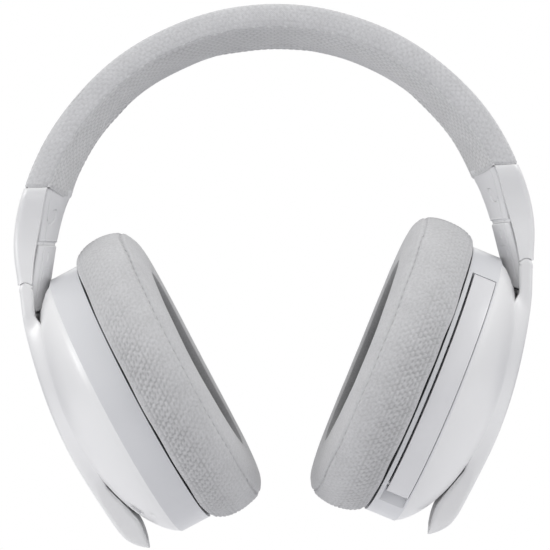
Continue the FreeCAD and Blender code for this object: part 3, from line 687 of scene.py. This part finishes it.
def stitches(name, line, out, side, body):
    """Short raised threads end to end along a closed line, out being the way that the cloth faces."""
    line, out = (np.vstack([rows, rows[:1]]) for rows in (line, out))
    s = arc_length(line)
    count = round(s[-1] / STITCH_PITCH)
    pitch = s[-1] / count
    verts, faces = [], []
    sides_round = 6
    for stitch in range(count):
        at = stitch * pitch + np.linspace(0.12, 0.80, 7) * pitch
        rise = np.sin(np.linspace(0, math.pi, 7)) ** 0.6
        centre, lift = read_at(at, s, line), read_at(at, s, out)
        centre += lift * (rise * 0.28 - 0.06)[:, None]
        along = np.gradient(centre, axis=0)
        along /= np.linalg.norm(along, axis=1, keepdims=True)
        cross = np.cross(along, lift)
        cross /= np.linalg.norm(cross, axis=1, keepdims=True)
        over = np.cross(cross, along)
        first = len(verts)
        for k in range(7):
            thick = 0.17 * (0.35 + 0.65 * rise[k])
            for turn in range(sides_round):
                angle = 2 * math.pi * turn / sides_round
                verts.append(centre[k] + thick * (math.cos(angle) * cross[k] + math.sin(angle) * over[k]))
        for k in range(6):
            for turn in range(sides_round):
                a = first + k * sides_round + turn
                b = first + k * sides_round + (turn + 1) % sides_round
                quad = [a, b, b + sides_round, a + sides_round]
                faces.append(quad if side > 0 else quad[::-1])
        ends = [list(range(first, first + sides_round))[::-1],
                list(range(first + 6 * sides_round, first + 7 * sides_round))]
        faces += ends if side > 0 else [end[::-1] for end in ends]
    thread = mesh_object(name, cup_points(side, np.array(verts)), faces, MATERIALS["thread"])
    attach(thread, body)


for side_name in SIDES:
    ear_cushion(side_name)

# ---------------- headband

ARCH_CENTRE_Z = -CROWN_R
PAD_HALF_W = ARCH_HALF_W - 0.25
PAD_DIP = 3.4  # how much further the pad's middle runs down over the end covers
SEAM_WAVE = 0.15
SEAM_PITCH = 5.6
SKIN_T = 0.8
PAD_LIE_R, COVER_LIE_R = 78, 84  # radii at which the lie of the two cloths is measured
CELL_WIDTH = 2.3
PAD_FINE = 4


def seam_wave(angle):
    """The edge that the cover and the pad share wanders a little between its stitches."""
    s = angle * PAD_EDGE_R
    return SEAM_WAVE * np.sin(2 * math.pi * s / SEAM_PITCH) * (0.7 + 0.3 * np.sin(s * 0.11 + 1.0))


def arch_points(angle, y, radius):
    return np.stack([
        radius * np.sin(angle),
        y + 0 * angle,
        ARCH_CENTRE_Z + radius * np.cos(angle),
    ], axis=-1)


def end_angle(level, radius):
    return np.arccos((level - ARCH_CENTRE_Z) / radius)


def crown_pad():
    count_u, count_low, count_back = 121, 41, 7
    y_low = np.sin(np.linspace(-math.pi / 2, math.pi / 2, count_low) * 0.94) / math.sin(math.pi / 2 * 0.94)
    y_low = (0.35 * y_low + 0.65 * np.linspace(-1, 1, count_low)) * PAD_HALF_W
    share = np.abs(y_low) / PAD_HALF_W
    r_low = CROWN_R + 0.5 + (PAD_EDGE_R - CROWN_R - 0.5) * share ** 2.3
    y_back = np.linspace(PAD_HALF_W - 0.6, -PAD_HALF_W + 0.6, count_back)
    y = np.concatenate([y_low, y_back])
    radius = np.concatenate([r_low, np.full(count_back, PAD_EDGE_R + 0.75)])
    dip = PAD_DIP * (1 - (y / PAD_HALF_W) ** 2)
    dip[count_low:] = 0
    last = end_angle(ARCH_END_Z - dip, radius)
    step = np.linspace(-1, 1, count_u)[:, None]
    angle = step * last[None, :]
    radius = np.broadcast_to(radius, angle.shape)
    free = np.concatenate([smoothstep(1.0, 0.85, share), np.zeros(count_back)])
    held = np.where((free[None, :] < 0.3) | (np.abs(step) > 0.97), 1.0, 0.0)
    grid = np.stack([angle * PAD_LIE_R, np.broadcast_to(y, angle.shape), -radius], axis=-1)
    coarse = arch_points(angle, np.broadcast_to(y, angle.shape), radius)
    coarse = blow_up("crown_pad_sim", coarse, held, False, False, SWELL_CAP)
    fine = refine(coarse, PAD_FINE, PAD_FINE, False)
    sheet = refine(grid, PAD_FINE, PAD_FINE, False)
    u, v, deep = sheet[..., 0], sheet[..., 1], -sheet[..., 2]
    normal = grid_normals(fine, False)
    downward = arch_points(u / PAD_LIE_R, 0 * u, np.ones(u.shape)) - (0, 0, ARCH_CENTRE_Z)
    if np.sum(normal * -downward * (deep < PAD_EDGE_R)[..., None]) < 0:
        normal = -normal
    under = smoothstep(PAD_EDGE_R + 0.3, PAD_EDGE_R - 0.6, deep)
    run = smoothstep(1.0, 0.985, np.abs(np.linspace(-1, 1, len(fine))))[:, None]
    emboss = cells(u, v, CELL_WIDTH, CELL_PITCH, 0.45)
    edge = smoothstep(PAD_HALF_W, PAD_HALF_W - 1.6, np.abs(v))
    height = 0.17 * emboss * under * run * (0.35 + 0.65 * edge)
    height += 0.14 * waves(31, 7, (12, 40), (u, v)) * under * edge
    height -= 0.5 * (1 - run) * under
    pucker = np.sin(2 * math.pi * u / (SEAM_PITCH / 2))
    height += 0.06 * pucker * smoothstep(PAD_HALF_W - 3.2, PAD_HALF_W - 0.8, np.abs(v)) * under
    points = fine + normal * height[..., None]
    # The seam's line wanders along the pad's two edges
    near_edge = smoothstep(PAD_HALF_W - 1.5, PAD_HALF_W, np.abs(v)) * under
    points += downward * (seam_wave(u / PAD_LIE_R) * near_edge)[..., None]
    pad = lattice("crown_pad_cloth", points, MATERIALS["pad_fabric"], uv=np.stack([u, v], axis=-1), caps=True)
    # Painted shade for the grooves between the embossed cells, which the cloth's material darkens
    paint(pad, "groove", painted_groove_shade(emboss, under * run))
    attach(pad, "headband")
    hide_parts("crown_pad")


def arch_section():
    """The cover's outside from its front edge round to its rear edge: (y, radius)."""
    half = ARCH_HALF_W
    low, high, corner = PAD_EDGE_R, ARCH_R, 2.6
    front = [
        (-half + 0.25, low), (-half + 0.02, low + 0.8), (-half - 0.18, low + 2.6), (-half - 0.16, low + 4.0),
        (-half + 0.05, high - corner + 0.2), (-half + 0.75, high - 0.85), (-half + corner - 0.2, high - 0.08),
        (-half * 0.55, high + 0.18),
    ]
    rear = [(-y, r) for y, r in front[::-1]]
    return catmull(front + [(0.0, high + 0.25)] + rear, 131, False)


def headband_cover():
    outside = arch_section()
    edge = np.gradient(outside, axis=0)
    edge /= np.linalg.norm(edge, axis=1, keepdims=True)
    inwards = np.stack([edge[:, 1], -edge[:, 0]], axis=1)
    inside = (outside + inwards * SKIN_T)[::-5]
    section = np.vstack([outside, inside])
    across = arc_length(outside)
    across = np.concatenate([across, across[::-5]])
    step = np.linspace(-1, 1, 441)[:, None]
    last = end_angle(ARCH_END_Z, section[:, 1])
    angle = step * last[None, :]
    u = angle * COVER_LIE_R
    v = np.broadcast_to(across, angle.shape)
    skin = np.arange(len(section)) < len(outside)
    from_edge = np.minimum(v, across.max() - v)
    radius = section[:, 1] + seam_wave(angle) * smoothstep(2.0, 0.0, from_edge)
    run = smoothstep(1.0, 0.99, np.abs(step))
    emboss = cells(u, v, CELL_WIDTH, CELL_PITCH, 0.4)
    height = 0.07 * emboss * run
    height += 0.12 * waves(41, 8, (14, 60), (u, v)) * smoothstep(0, 3, from_edge)
    height -= 0.45 * (1 - run)
    pucker = np.sin(2 * math.pi * u / (SEAM_PITCH / 2)) * smoothstep(3.0, 0.8, from_edge)
    height = (height + 0.05 * pucker) * skin
    outwards = -np.vstack([inwards, inwards[::-5]])
    points = arch_points(angle, section[:, 0] + outwards[:, 0] * height, radius + outwards[:, 1] * height)
    cover = lattice("headband_cloth", points, MATERIALS["arch_fabric"], flip=True,
                    uv=np.stack([u, v], axis=-1), caps=True)
    # Painted shade for the grooves between the embossed cells, which the cloth's material darkens
    paint(cover, "groove", painted_groove_shade(emboss, 0.45 * run * skin))
    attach(cover, "headband")
    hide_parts("headband_cover")


crown_pad()
headband_cover()

# ---------------- cup shells

DOME_EDGE = 0.9642  # share of the ellipsoid's radius at which the dome meets the band
DOME_WALL = 2.2
POCKET_R = 8.4
POCKET_HALF_W = 11.5
KNUCKLE_R = 2.84
KNUCKLE_TOP = 2.67  # the knuckle is cut flat here, clear of the slider bar when the cup tilts


def to_cup(x, z):
    """Cup-frame (y, o) of a point in the headset's middle plane."""
    dx, dz = x - CUP[0], z - CUP[2]
    return dx * UP[0] + dz * UP[2], dx * OUT[0] + dz * OUT[2]


HINGE_Y, HINGE_O = to_cup(PIVOT[0], PIVOT[2])
RIM, _ = oval(*OVAL, 720)
RIM_ANGLE = np.unwrap(np.arctan2(RIM[:, 1], RIM[:, 0]))
RIM_RADIUS = np.hypot(RIM[:, 0], RIM[:, 1])


def rim_radius(x, y):
    angle = np.arctan2(y, x) % (2 * math.pi)
    return np.interp(angle, RIM_ANGLE, RIM_RADIUS, period=2 * math.pi)


def dome_level(x, y):
    share = np.minimum(np.hypot(x, y) / rim_radius(x, y), 1.0) * DOME_EDGE
    return DOME_BASE + DOME_RISE * np.sqrt(1 - share ** 2)


def pill(x, y, centre, half_long, radius, turn=0.0):
    """Distance outside a pill-shaped outline, whose long axis is turned from x."""
    dx, dy = x - centre[0], y - centre[1]
    along = dx * math.cos(turn) + dy * math.sin(turn)
    across = -dx * math.sin(turn) + dy * math.cos(turn)
    along = np.maximum(np.abs(along) - half_long, 0)
    return np.hypot(along, across) - radius


MODE_SPOT = (-17.0, -33.5)
DOTS = ((-11.2, -40.4), (-20.8, -37.4))


def cup_dome(side_name):
    side = SIDES[side_name]
    round_count, ring_count = 432, 150
    share = np.linspace(0.006, 1, ring_count) ** 0.85
    angle = np.linspace(0, 2 * math.pi, round_count, endpoint=False)
    radius = np.interp(angle, RIM_ANGLE, RIM_RADIUS, period=2 * math.pi)
    x = share[:, None] * (radius * np.cos(angle))
    y = share[:, None] * (radius * np.sin(angle))
    outer = dome_level(x, y)
    outer += 0.35 * smoothstep(0.975, 1.0, share)[:, None] * (BAND_H - outer)
    if side_name == "right":
        outline = np.abs(pill(x, y, MODE_SPOT, 1.2, 1.25, math.pi / 2))
        outer -= 0.55 * smoothstep(0.45, 0.1, outline)
        for spot in DOTS:
            outer -= 0.8 * smoothstep(0.75, 0.35, np.hypot(x - spot[0], y - spot[1]))
    outer += 0.02 * waves(51, 5, (18, 45), (x, y))
    reach = POCKET_R - 0.55 * smoothstep(-1.0, -6.0, y - HINGE_Y)
    scoop = HINGE_O - np.sqrt(np.maximum(reach ** 2 - (y - HINGE_Y) ** 2, 0))
    in_pocket = smoothstep(POCKET_HALF_W + 0.45, POCKET_HALF_W - 0.1, np.abs(x))
    in_pocket = in_pocket * (np.abs(y - HINGE_Y) < reach)
    outer -= in_pocket * np.maximum(outer - scoop, 0)
    inner_share = share[::-4]
    xi = inner_share[:, None] * ((radius - DOME_WALL) * np.cos(angle))
    yi = inner_share[:, None] * ((radius - DOME_WALL) * np.sin(angle))
    inner = np.minimum(dome_level(xi, yi) - DOME_WALL, BAND_H + 12)
    # The inner skin keeps a wall under the pocket that the hinge sits in
    floor = HINGE_O - np.sqrt(np.maximum((POCKET_R + 1.1) ** 2 - np.minimum(yi - HINGE_Y, 0) ** 2, 0))
    under_pocket = smoothstep(POCKET_HALF_W + 4.0, POCKET_HALF_W + 1.5, np.abs(xi))
    under_pocket = under_pocket * smoothstep(-12.0, -9.6, yi - HINGE_Y)
    inner -= under_pocket * np.maximum(inner - floor, 0)
    inner[0] = BAND_H
    grid = np.concatenate([
        np.stack([x, y, outer], axis=-1),
        np.stack([x[-1], y[-1], np.minimum(outer[-1], BAND_H) - 0.02], axis=-1)[None],
        np.stack([xi, yi, inner], axis=-1),
    ])
    dome = lattice(side_name + "_cup_dome", cup_points(side, grid), MATERIALS["white_shell"],
                   flip=side < 0, caps=True)
    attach(dome, side_name + "_cup")
    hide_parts(side_name + "_dome")


# The limb's outer and inner lines down the headset's middle plane, (x, z)
LIMB_OUTER = (
    (87.48, -79.0), (85.9, -94.0), (80.3, -116.3), (72.6, -136.5), (61.8, -157.0), (56.9, -164.6),
    (52.6, -167.7), (48.0, -169.1),
)
LIMB_INNER = (
    (82.1, -79.0), (81.6, -92.0), (79.3, -106.0), (75.4, -120.0), (69.2, -133.5), (61.8, -145.4),
    (52.8, -156.3), (50.2, -160.4), (48.6, -165.4), (47.9, -168.9),
)
LIMB_HALF_W = 13.0


def blade_lines():
    """Stations up the limb in the cup's frame: y, outer level, inner level and half width."""
    outer, inner = (
        catmull([to_cup(*p) for p in line], 400, False)[::-1] for line in (LIMB_OUTER, LIMB_INNER)
    )
    low, high = outer[0, 0], HINGE_Y + KNUCKLE_TOP
    t = (1 - np.cos(np.linspace(0, math.pi, 260))) / 2
    y = low + 0.02 + (high - low - 0.03) * (0.45 * t + 0.55 * np.linspace(0, 1, 260))
    o_out = np.interp(y, outer[:, 0], outer[:, 1])
    o_in = np.interp(y, inner[:, 0], inner[:, 1])
    knuckle = np.sqrt(np.maximum(KNUCKLE_R ** 2 - (y - HINGE_Y) ** 2, 0))
    o_out = np.where(y > HINGE_Y, HINGE_O + knuckle, o_out)
    o_in = np.where(y > HINGE_Y, HINGE_O - knuckle, np.minimum(o_in, o_out - 0.05))
    ease = smoothstep(HINGE_Y - 5, HINGE_Y, y)
    eased = o_out * (1 - ease) + ease * np.maximum(o_out, HINGE_O + knuckle)
    o_out = np.where(y > HINGE_Y, o_out, eased)
    width_at = (
        (low, 0.35), (low + 0.5, 1.7), (low + 1.6, 2.9), (low + 4, 3.9), (-40, 4.9), (-26, 8.1),
        (-10.3, 11.3), (4, 12.6), (16, LIMB_HALF_W), (high, LIMB_HALF_W),
    )
    width = np.interp(y, *catmull(width_at, 300, False).T)
    return y, o_out, o_in, np.minimum(width, LIMB_HALF_W)


def limb(side_name):
    side = SIDES[side_name]
    y, o_out, o_in, width = blade_lines()
    thick = np.maximum(o_out - o_in, 0.02)
    joined = smoothstep(-27.0, -16.0, y) * smoothstep(41.5, 33.0, y)
    flare = 7.0 * smoothstep(-27.0, 2.0, y) * smoothstep(42.0, 16.0, y) + 1.5 * joined + 0.001
    hollow = smoothstep(40.2, 41.6, y)
    crown = 0.75 * np.minimum(1, thick / 3)
    round_r = np.minimum(1.7, thick * 0.48)
    half = []
    for x_share in np.linspace(0, 1, 15):
        x = x_share * (width - round_r)
        half.append((x, o_out - crown * (x / width) ** 2))
    shoulder_x, shoulder_o = half[-1]
    turn = np.linspace(0, math.pi / 2, 9)[1:]
    wall = np.linspace(0, 1, 5)[1:]
    free = [(shoulder_x + round_r * math.sin(a), shoulder_o - round_r * (1 - math.cos(a))) for a in turn]
    low_r = np.minimum(0.5, thick * 0.2)
    base_o = np.minimum(o_in + low_r, shoulder_o - round_r)
    free += [(width, (shoulder_o - round_r) * (1 - w) + base_o * w) for w in wall]
    foot_x = width + flare
    foot_o = dome_level(foot_x, y) - 0.05
    slope_out = -2 * crown * shoulder_x / width ** 2
    slope_foot = (dome_level(foot_x + 0.5, y) - dome_level(foot_x - 0.5, y))
    joined_side = []
    span = foot_x - shoulder_x
    for w in np.linspace(0, 1, len(free) + 1)[1:]:
        h00, h10 = 2 * w ** 3 - 3 * w ** 2 + 1, w ** 3 - 2 * w ** 2 + w
        h01, h11 = -2 * w ** 3 + 3 * w ** 2, w ** 3 - w ** 2
        level = h00 * shoulder_o + h10 * slope_out * span + h01 * foot_o + h11 * slope_foot * span
        joined_side.append((shoulder_x + w * span, level))
    for (fx, fo), (jx, jo) in zip(free, joined_side):
        half.append((fx + (jx - fx) * joined, fo + (jo - fo) * joined))
    last_x, last_o = half[-1]
    channel = np.minimum(POCKET_HALF_W - 0.25, width - 0.6)
    skin_o = o_out - np.minimum(0.6, thick * 0.35)
    ceiling = o_in + (skin_o - o_in) * hollow
    half += [
        (last_x - 0.4 * joined - low_r * (1 - joined), np.minimum(o_in, last_o - 0.9 * joined)),
        (channel + 0.12, o_in), (channel, ceiling), (channel * 0.66, ceiling), (channel * 0.33, ceiling),
    ]
    right = np.stack([np.stack([x + 0 * y, o + 0 * y], axis=-1) for x, o in half], axis=1)
    middle = np.stack([0 * y, ceiling], axis=-1)[:, None]
    left = right[:, 1:][:, ::-1] * (-1, 1)
    section = np.concatenate([right, middle, left], axis=1)
    rows = np.broadcast_to(y[:, None], section.shape[:2])
    grid = np.stack([section[..., 0], rows, section[..., 1]], axis=-1)
    blade = lattice(side_name + "_limb", cup_points(side, grid), MATERIALS["white_shell"],
                    flip=side > 0, caps=True)
    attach(blade, side_name + "_cup")
    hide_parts(side_name + "_blade")


def tail_inlay(side_name):
    """The darker panel let into the inner face of the limb's free tail."""
    side = SIDES[side_name]
    y, _, o_in, width = blade_lines()
    low, high = -46.4, -27.5
    t = np.linspace(0, 1, 60)
    yy = low + (high - low) * t
    half = np.interp(yy, y, width) - 1.15
    low_end, high_end = (
        np.sqrt(np.maximum(1 - (1 - np.minimum(away, 1)) ** 2, 0.01)) for away in (t / 0.10, (1 - t) / 0.06)
    )
    rounding = low_end * high_end
    half = np.maximum(half, 0.4) * rounding
    level = np.interp(yy, y, o_in)
    s = np.linspace(-1, 1, 25)
    edge = 1 - smoothstep(0.86, 1.0, np.abs(s))
    face = level[:, None] - 0.28 * edge[None, :] * rounding[:, None] + 0.05
    back = np.broadcast_to(level[:, None] + 0.6, face.shape)
    x = half[:, None] * s
    rows = np.broadcast_to(yy[:, None], x.shape)
    grid = np.concatenate([
        np.stack([x, rows, face], axis=-1), np.stack([x, rows, back], axis=-1)[:, ::-1],
    ], axis=1)
    panel = lattice(side_name + "_tail_panel", cup_points(side, grid), MATERIALS["inlay"],
                    flip=side < 0, caps=True)
    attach(panel, side_name + "_cup")
    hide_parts(side_name + "_blade_inlay")


for side_name in SIDES:
    cup_dome(side_name)
    limb(side_name)
    tail_inlay(side_name)


# ---------------- inner covers of the limbs

# Level, crown x, edge x and half width of the fixed cover, and its depth back to the shell
COVER_STATIONS = (
    (-44.9, 68.9, 74.7, 17.0, 76.0), (-50.5, 71.5, 76.6, 15.1, 77.9), (-56.5, 73.5, 78.1, 12.2, 79.2),
    (-62.4, 75.1, 79.3, 11.0, 80.3),
)
COVER_TABLE = catmull(COVER_STATIONS, 400, False)[::-1]
COVER_LIP_Z = -63.5
BEAD_AT = 1.5  # the bead's groove, in from the cover's edge
SCREW_SPOT = (-54.0, 8.8)
PILL = (0.85, 1.35)  # half height of its straight part, and its radius
SLIDER_TOP_Z = -63.6
SLIDER_LEAN = 0.2
SLIDER_HALF_W = 10.9
SLIDER_SWEEP_R = 7.6
EYE_R = 2.08  # the hinge eye, which the back of the slider cover clears
FOOT_Z, FOOT_R = -79.0, 7.54  # the rows at the slider cover's foot are spaced along this arc
FOOT_START = 4.1


def cover_at(z):
    """Crown x, edge x, half width and depth of the fixed cover at a level."""
    return (np.interp(z, COVER_TABLE[:, 0], COVER_TABLE[:, i]) for i in (1, 2, 3, 4))


def groove(distance, half_width, depth):
    return depth * smoothstep(half_width, half_width * 0.25, np.abs(distance))


def bead(from_edge, depth, rise, fade=1.0):
    """The groove that runs round a cover near its edge, and the raised bead outside it."""
    raised = rise * smoothstep(BEAD_AT - 0.25, BEAD_AT - 0.6, from_edge) * smoothstep(0, 0.4, from_edge)
    return groove(from_edge - BEAD_AT, 0.28, depth) * fade - raised * fade


def stroke(z, y, start, end):
    """A short straight groove from start to end, each (z, y)."""
    (z0, y0), (z1, y1) = start, end
    length = math.hypot(z1 - z0, y1 - y0)
    t = np.clip(((z - z0) * (z1 - z0) + (y - y0) * (y1 - y0)) / length ** 2, 0, 1)
    return groove(np.hypot(z - z0 - t * (z1 - z0), y - y0 - t * (y1 - y0)), 0.17, 0.2)


def cover_skin(side_name, name, z, crown, edge, half, back, carve, body, node):
    """A crowned cover: a row for each level, running across its front, round its sides and along its back."""
    side = SIDES[side_name]
    s = np.linspace(-1, 1, 201)
    s = 0.8 * s + 0.2 * np.sin(s * math.pi / 2)
    rounding = 0.45
    rise = edge - crown
    radius = (half ** 2 + rise ** 2) / (2 * rise)
    y = s * (half - rounding)[:, None]
    front = (crown + radius)[:, None] - np.sqrt(radius[:, None] ** 2 - y ** 2)
    front += carve(z[:, None], y, (half - rounding)[:, None] - np.abs(y), front)
    front = np.minimum(front, back[:, None] - 0.1)
    corner = np.array([0.35, 0.7, 0.92, 1.0])
    drop = rounding * (1 - np.sqrt(1 - corner ** 2)) + 0.25 * corner
    side_y = (half - rounding)[:, None] + rounding * corner
    side_x = np.minimum(front[:, -1:] + drop, back[:, None] - 0.05)
    half, back = half[:, None], back[:, None]
    ring_y = np.concatenate(
        [y, side_y, half, half * np.linspace(0.9, -0.9, 9), -half, -side_y[:, ::-1]], axis=1)
    ring_x = np.concatenate([front, side_x, back, np.repeat(back, 9, 1), back, side_x[:, ::-1]], axis=1)
    grid = np.stack([side * ring_x, ring_y, np.broadcast_to(z[:, None], ring_x.shape)], axis=-1)
    cover = lattice(name, grid, MATERIALS["grey_cover"], flip=side > 0, caps=True)
    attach(cover, body)
    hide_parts(node)


def end_cover(side_name):
    z = np.concatenate([
        [COVER_STATIONS[0][0]], np.linspace(-45.0, -62.38, 128), [-62.42, -62.5, -63.0, COVER_LIP_Z],
    ])
    crown, edge, half, back = cover_at(z)
    below = np.maximum(-62.4 - z, 0)
    crown, edge, back = (value + below * SLIDER_LEAN for value in (crown, edge, back))

    def carve(level, y, from_edge, front):
        cut = bead(from_edge, 0.5, 0.16)
        for at in (-SCREW_SPOT[1], SCREW_SPOT[1]):
            away = pill(level, y, (SCREW_SPOT[0], at), PILL[0], PILL[1] + 0.2)
            cut += 0.9 * smoothstep(0.1, -0.15, away)
        cut += 0.5 * smoothstep(-62.3, -62.45, level)
        cut += 0.35 * smoothstep(0.1, -0.15, pill(level, y, (-55.6, 0.0), 0.5, 0.45))
        cut += 0.12 * smoothstep(-45.25, -44.95, level)
        return cut + groove(level + 61.6, 0.16, 0.12)

    cover_skin(side_name, side_name + "_limb_cover", z, crown, edge, half, back, carve, "headband",
               side_name + "_end_cover")


def screw_plugs():
    """The pill-shaped plugs over the cover screws, a little below the covers' surface."""
    count, steps = 48, np.array([0.02, 0.3, 0.6, 0.8, 0.92, 0.98, 1.0, 1.0, 0.9])
    sink = np.array([0.26, 0.26, 0.26, 0.27, 0.30, 0.38, 0.5, 1.6, 1.6])
    turn = np.linspace(0, 2 * math.pi, count, endpoint=False)
    points, faces = [], []
    for side in SIDES.values():
        for at in (-SCREW_SPOT[1], SCREW_SPOT[1]):
            y = at + steps[:, None] * PILL[1] * np.sin(turn)
            z = SCREW_SPOT[0] + steps[:, None] * (PILL[1] * np.cos(turn) + np.sign(np.cos(turn)) * PILL[0])
            crown, edge, half, _ = cover_at(z)
            radius = (half ** 2 + (edge - crown) ** 2) / (2 * (edge - crown))
            x = crown + radius - np.sqrt(radius ** 2 - y ** 2) + sink[:, None]
            first = sum(len(block) for block in points)
            points.append(np.stack([side * x, y, z], axis=-1).reshape(-1, 3))
            rows = lattice_faces(len(steps), count, False, side > 0, True)
            faces += [[first + index for index in face] for face in rows]
    plugs = mesh_object("cover_plugs", np.vstack(points), faces, MATERIALS["grey_cover"])
    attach(plugs, "headband")
    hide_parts("end_cover_plugs")


def slider_cover(side_name):
    z = np.concatenate([
        [SLIDER_TOP_Z, SLIDER_TOP_Z - 0.04, SLIDER_TOP_Z - 0.12, SLIDER_TOP_Z - 0.25],
        np.linspace(SLIDER_TOP_Z - 0.4, -83.0, 130),
        FOOT_Z - FOOT_R * np.sin(np.linspace(math.asin(FOOT_START / FOOT_R), math.pi / 2, 26)),
    ])
    lean = (SLIDER_TOP_Z - z) * SLIDER_LEAN
    crown, edge = 75.3 + lean, 79.4 + lean
    half = np.full(z.shape, SLIDER_HALF_W)
    pivot_x, _, pivot_z = PIVOT
    back = pivot_x + (pivot_z - z) * SLIDER_LEAN - 1.02
    eye = pivot_x - np.sqrt(np.maximum(EYE_R ** 2 - (z - pivot_z) ** 2, 0))
    back = np.where(np.abs(z - pivot_z) < EYE_R, np.minimum(back, eye), back)
    sweep = pivot_x - np.sqrt(np.maximum(SLIDER_SWEEP_R ** 2 - (z - pivot_z) ** 2, 0))
    sweep = np.where(z > pivot_z, 0, sweep)

    def carve(level, y, from_edge, front):
        cut = bead(from_edge, 0.4, 0.12, smoothstep(-84, -80, level))
        cut += 0.30 * smoothstep(SLIDER_TOP_Z - 0.35, SLIDER_TOP_Z, level)
        for turn in (-1, 1):
            away = pill(level, y, (-67.3, 6.6 * turn), 0.9, 0.55)
            cut += 0.3 * smoothstep(0.15, -0.2, away)
            cut += stroke(level, y, (-71.4, 5.0 * turn), (-71.4, 7.2 * turn))
            cut += stroke(level, y, (-72.4, 7.6 * turn), (-75.6, 7.6 * turn))
        return cut + smooth_max(np.interp(level, z[::-1], sweep[::-1]) - front, 0.0, 0.5)

    cover_skin(side_name, side_name + "_arm_cover", z, crown, edge, half, back, carve, side_name + "_arm",
               side_name + "_slider_cover")


for side_name in SIDES:
    end_cover(side_name)
    slider_cover(side_name)
screw_plugs()


# ---------------- edges of the hard parts

def soften(node, width_mm):
    """Round a hard part's edges as a mould does."""
    obj = NODES[node]
    weld = obj.modifiers.new("weld", "WELD")
    weld.merge_threshold = 0.002 * MM
    bevel = obj.modifiers.new("round", "BEVEL")
    bevel.width = width_mm * MM
    bevel.segments = 3
    bevel.limit_method = "ANGLE"
    bevel.angle_limit = math.radians(32)
    bevel.use_clamp_overlap = True
    bevel.harden_normals = False
    obj.data.polygons.foreach_set("use_smooth", [True] * len(obj.data.polygons))


for side_name in SIDES:
    soften(side_name + "_end_shell", 0.15)
soften("mic_boom", 0.22)
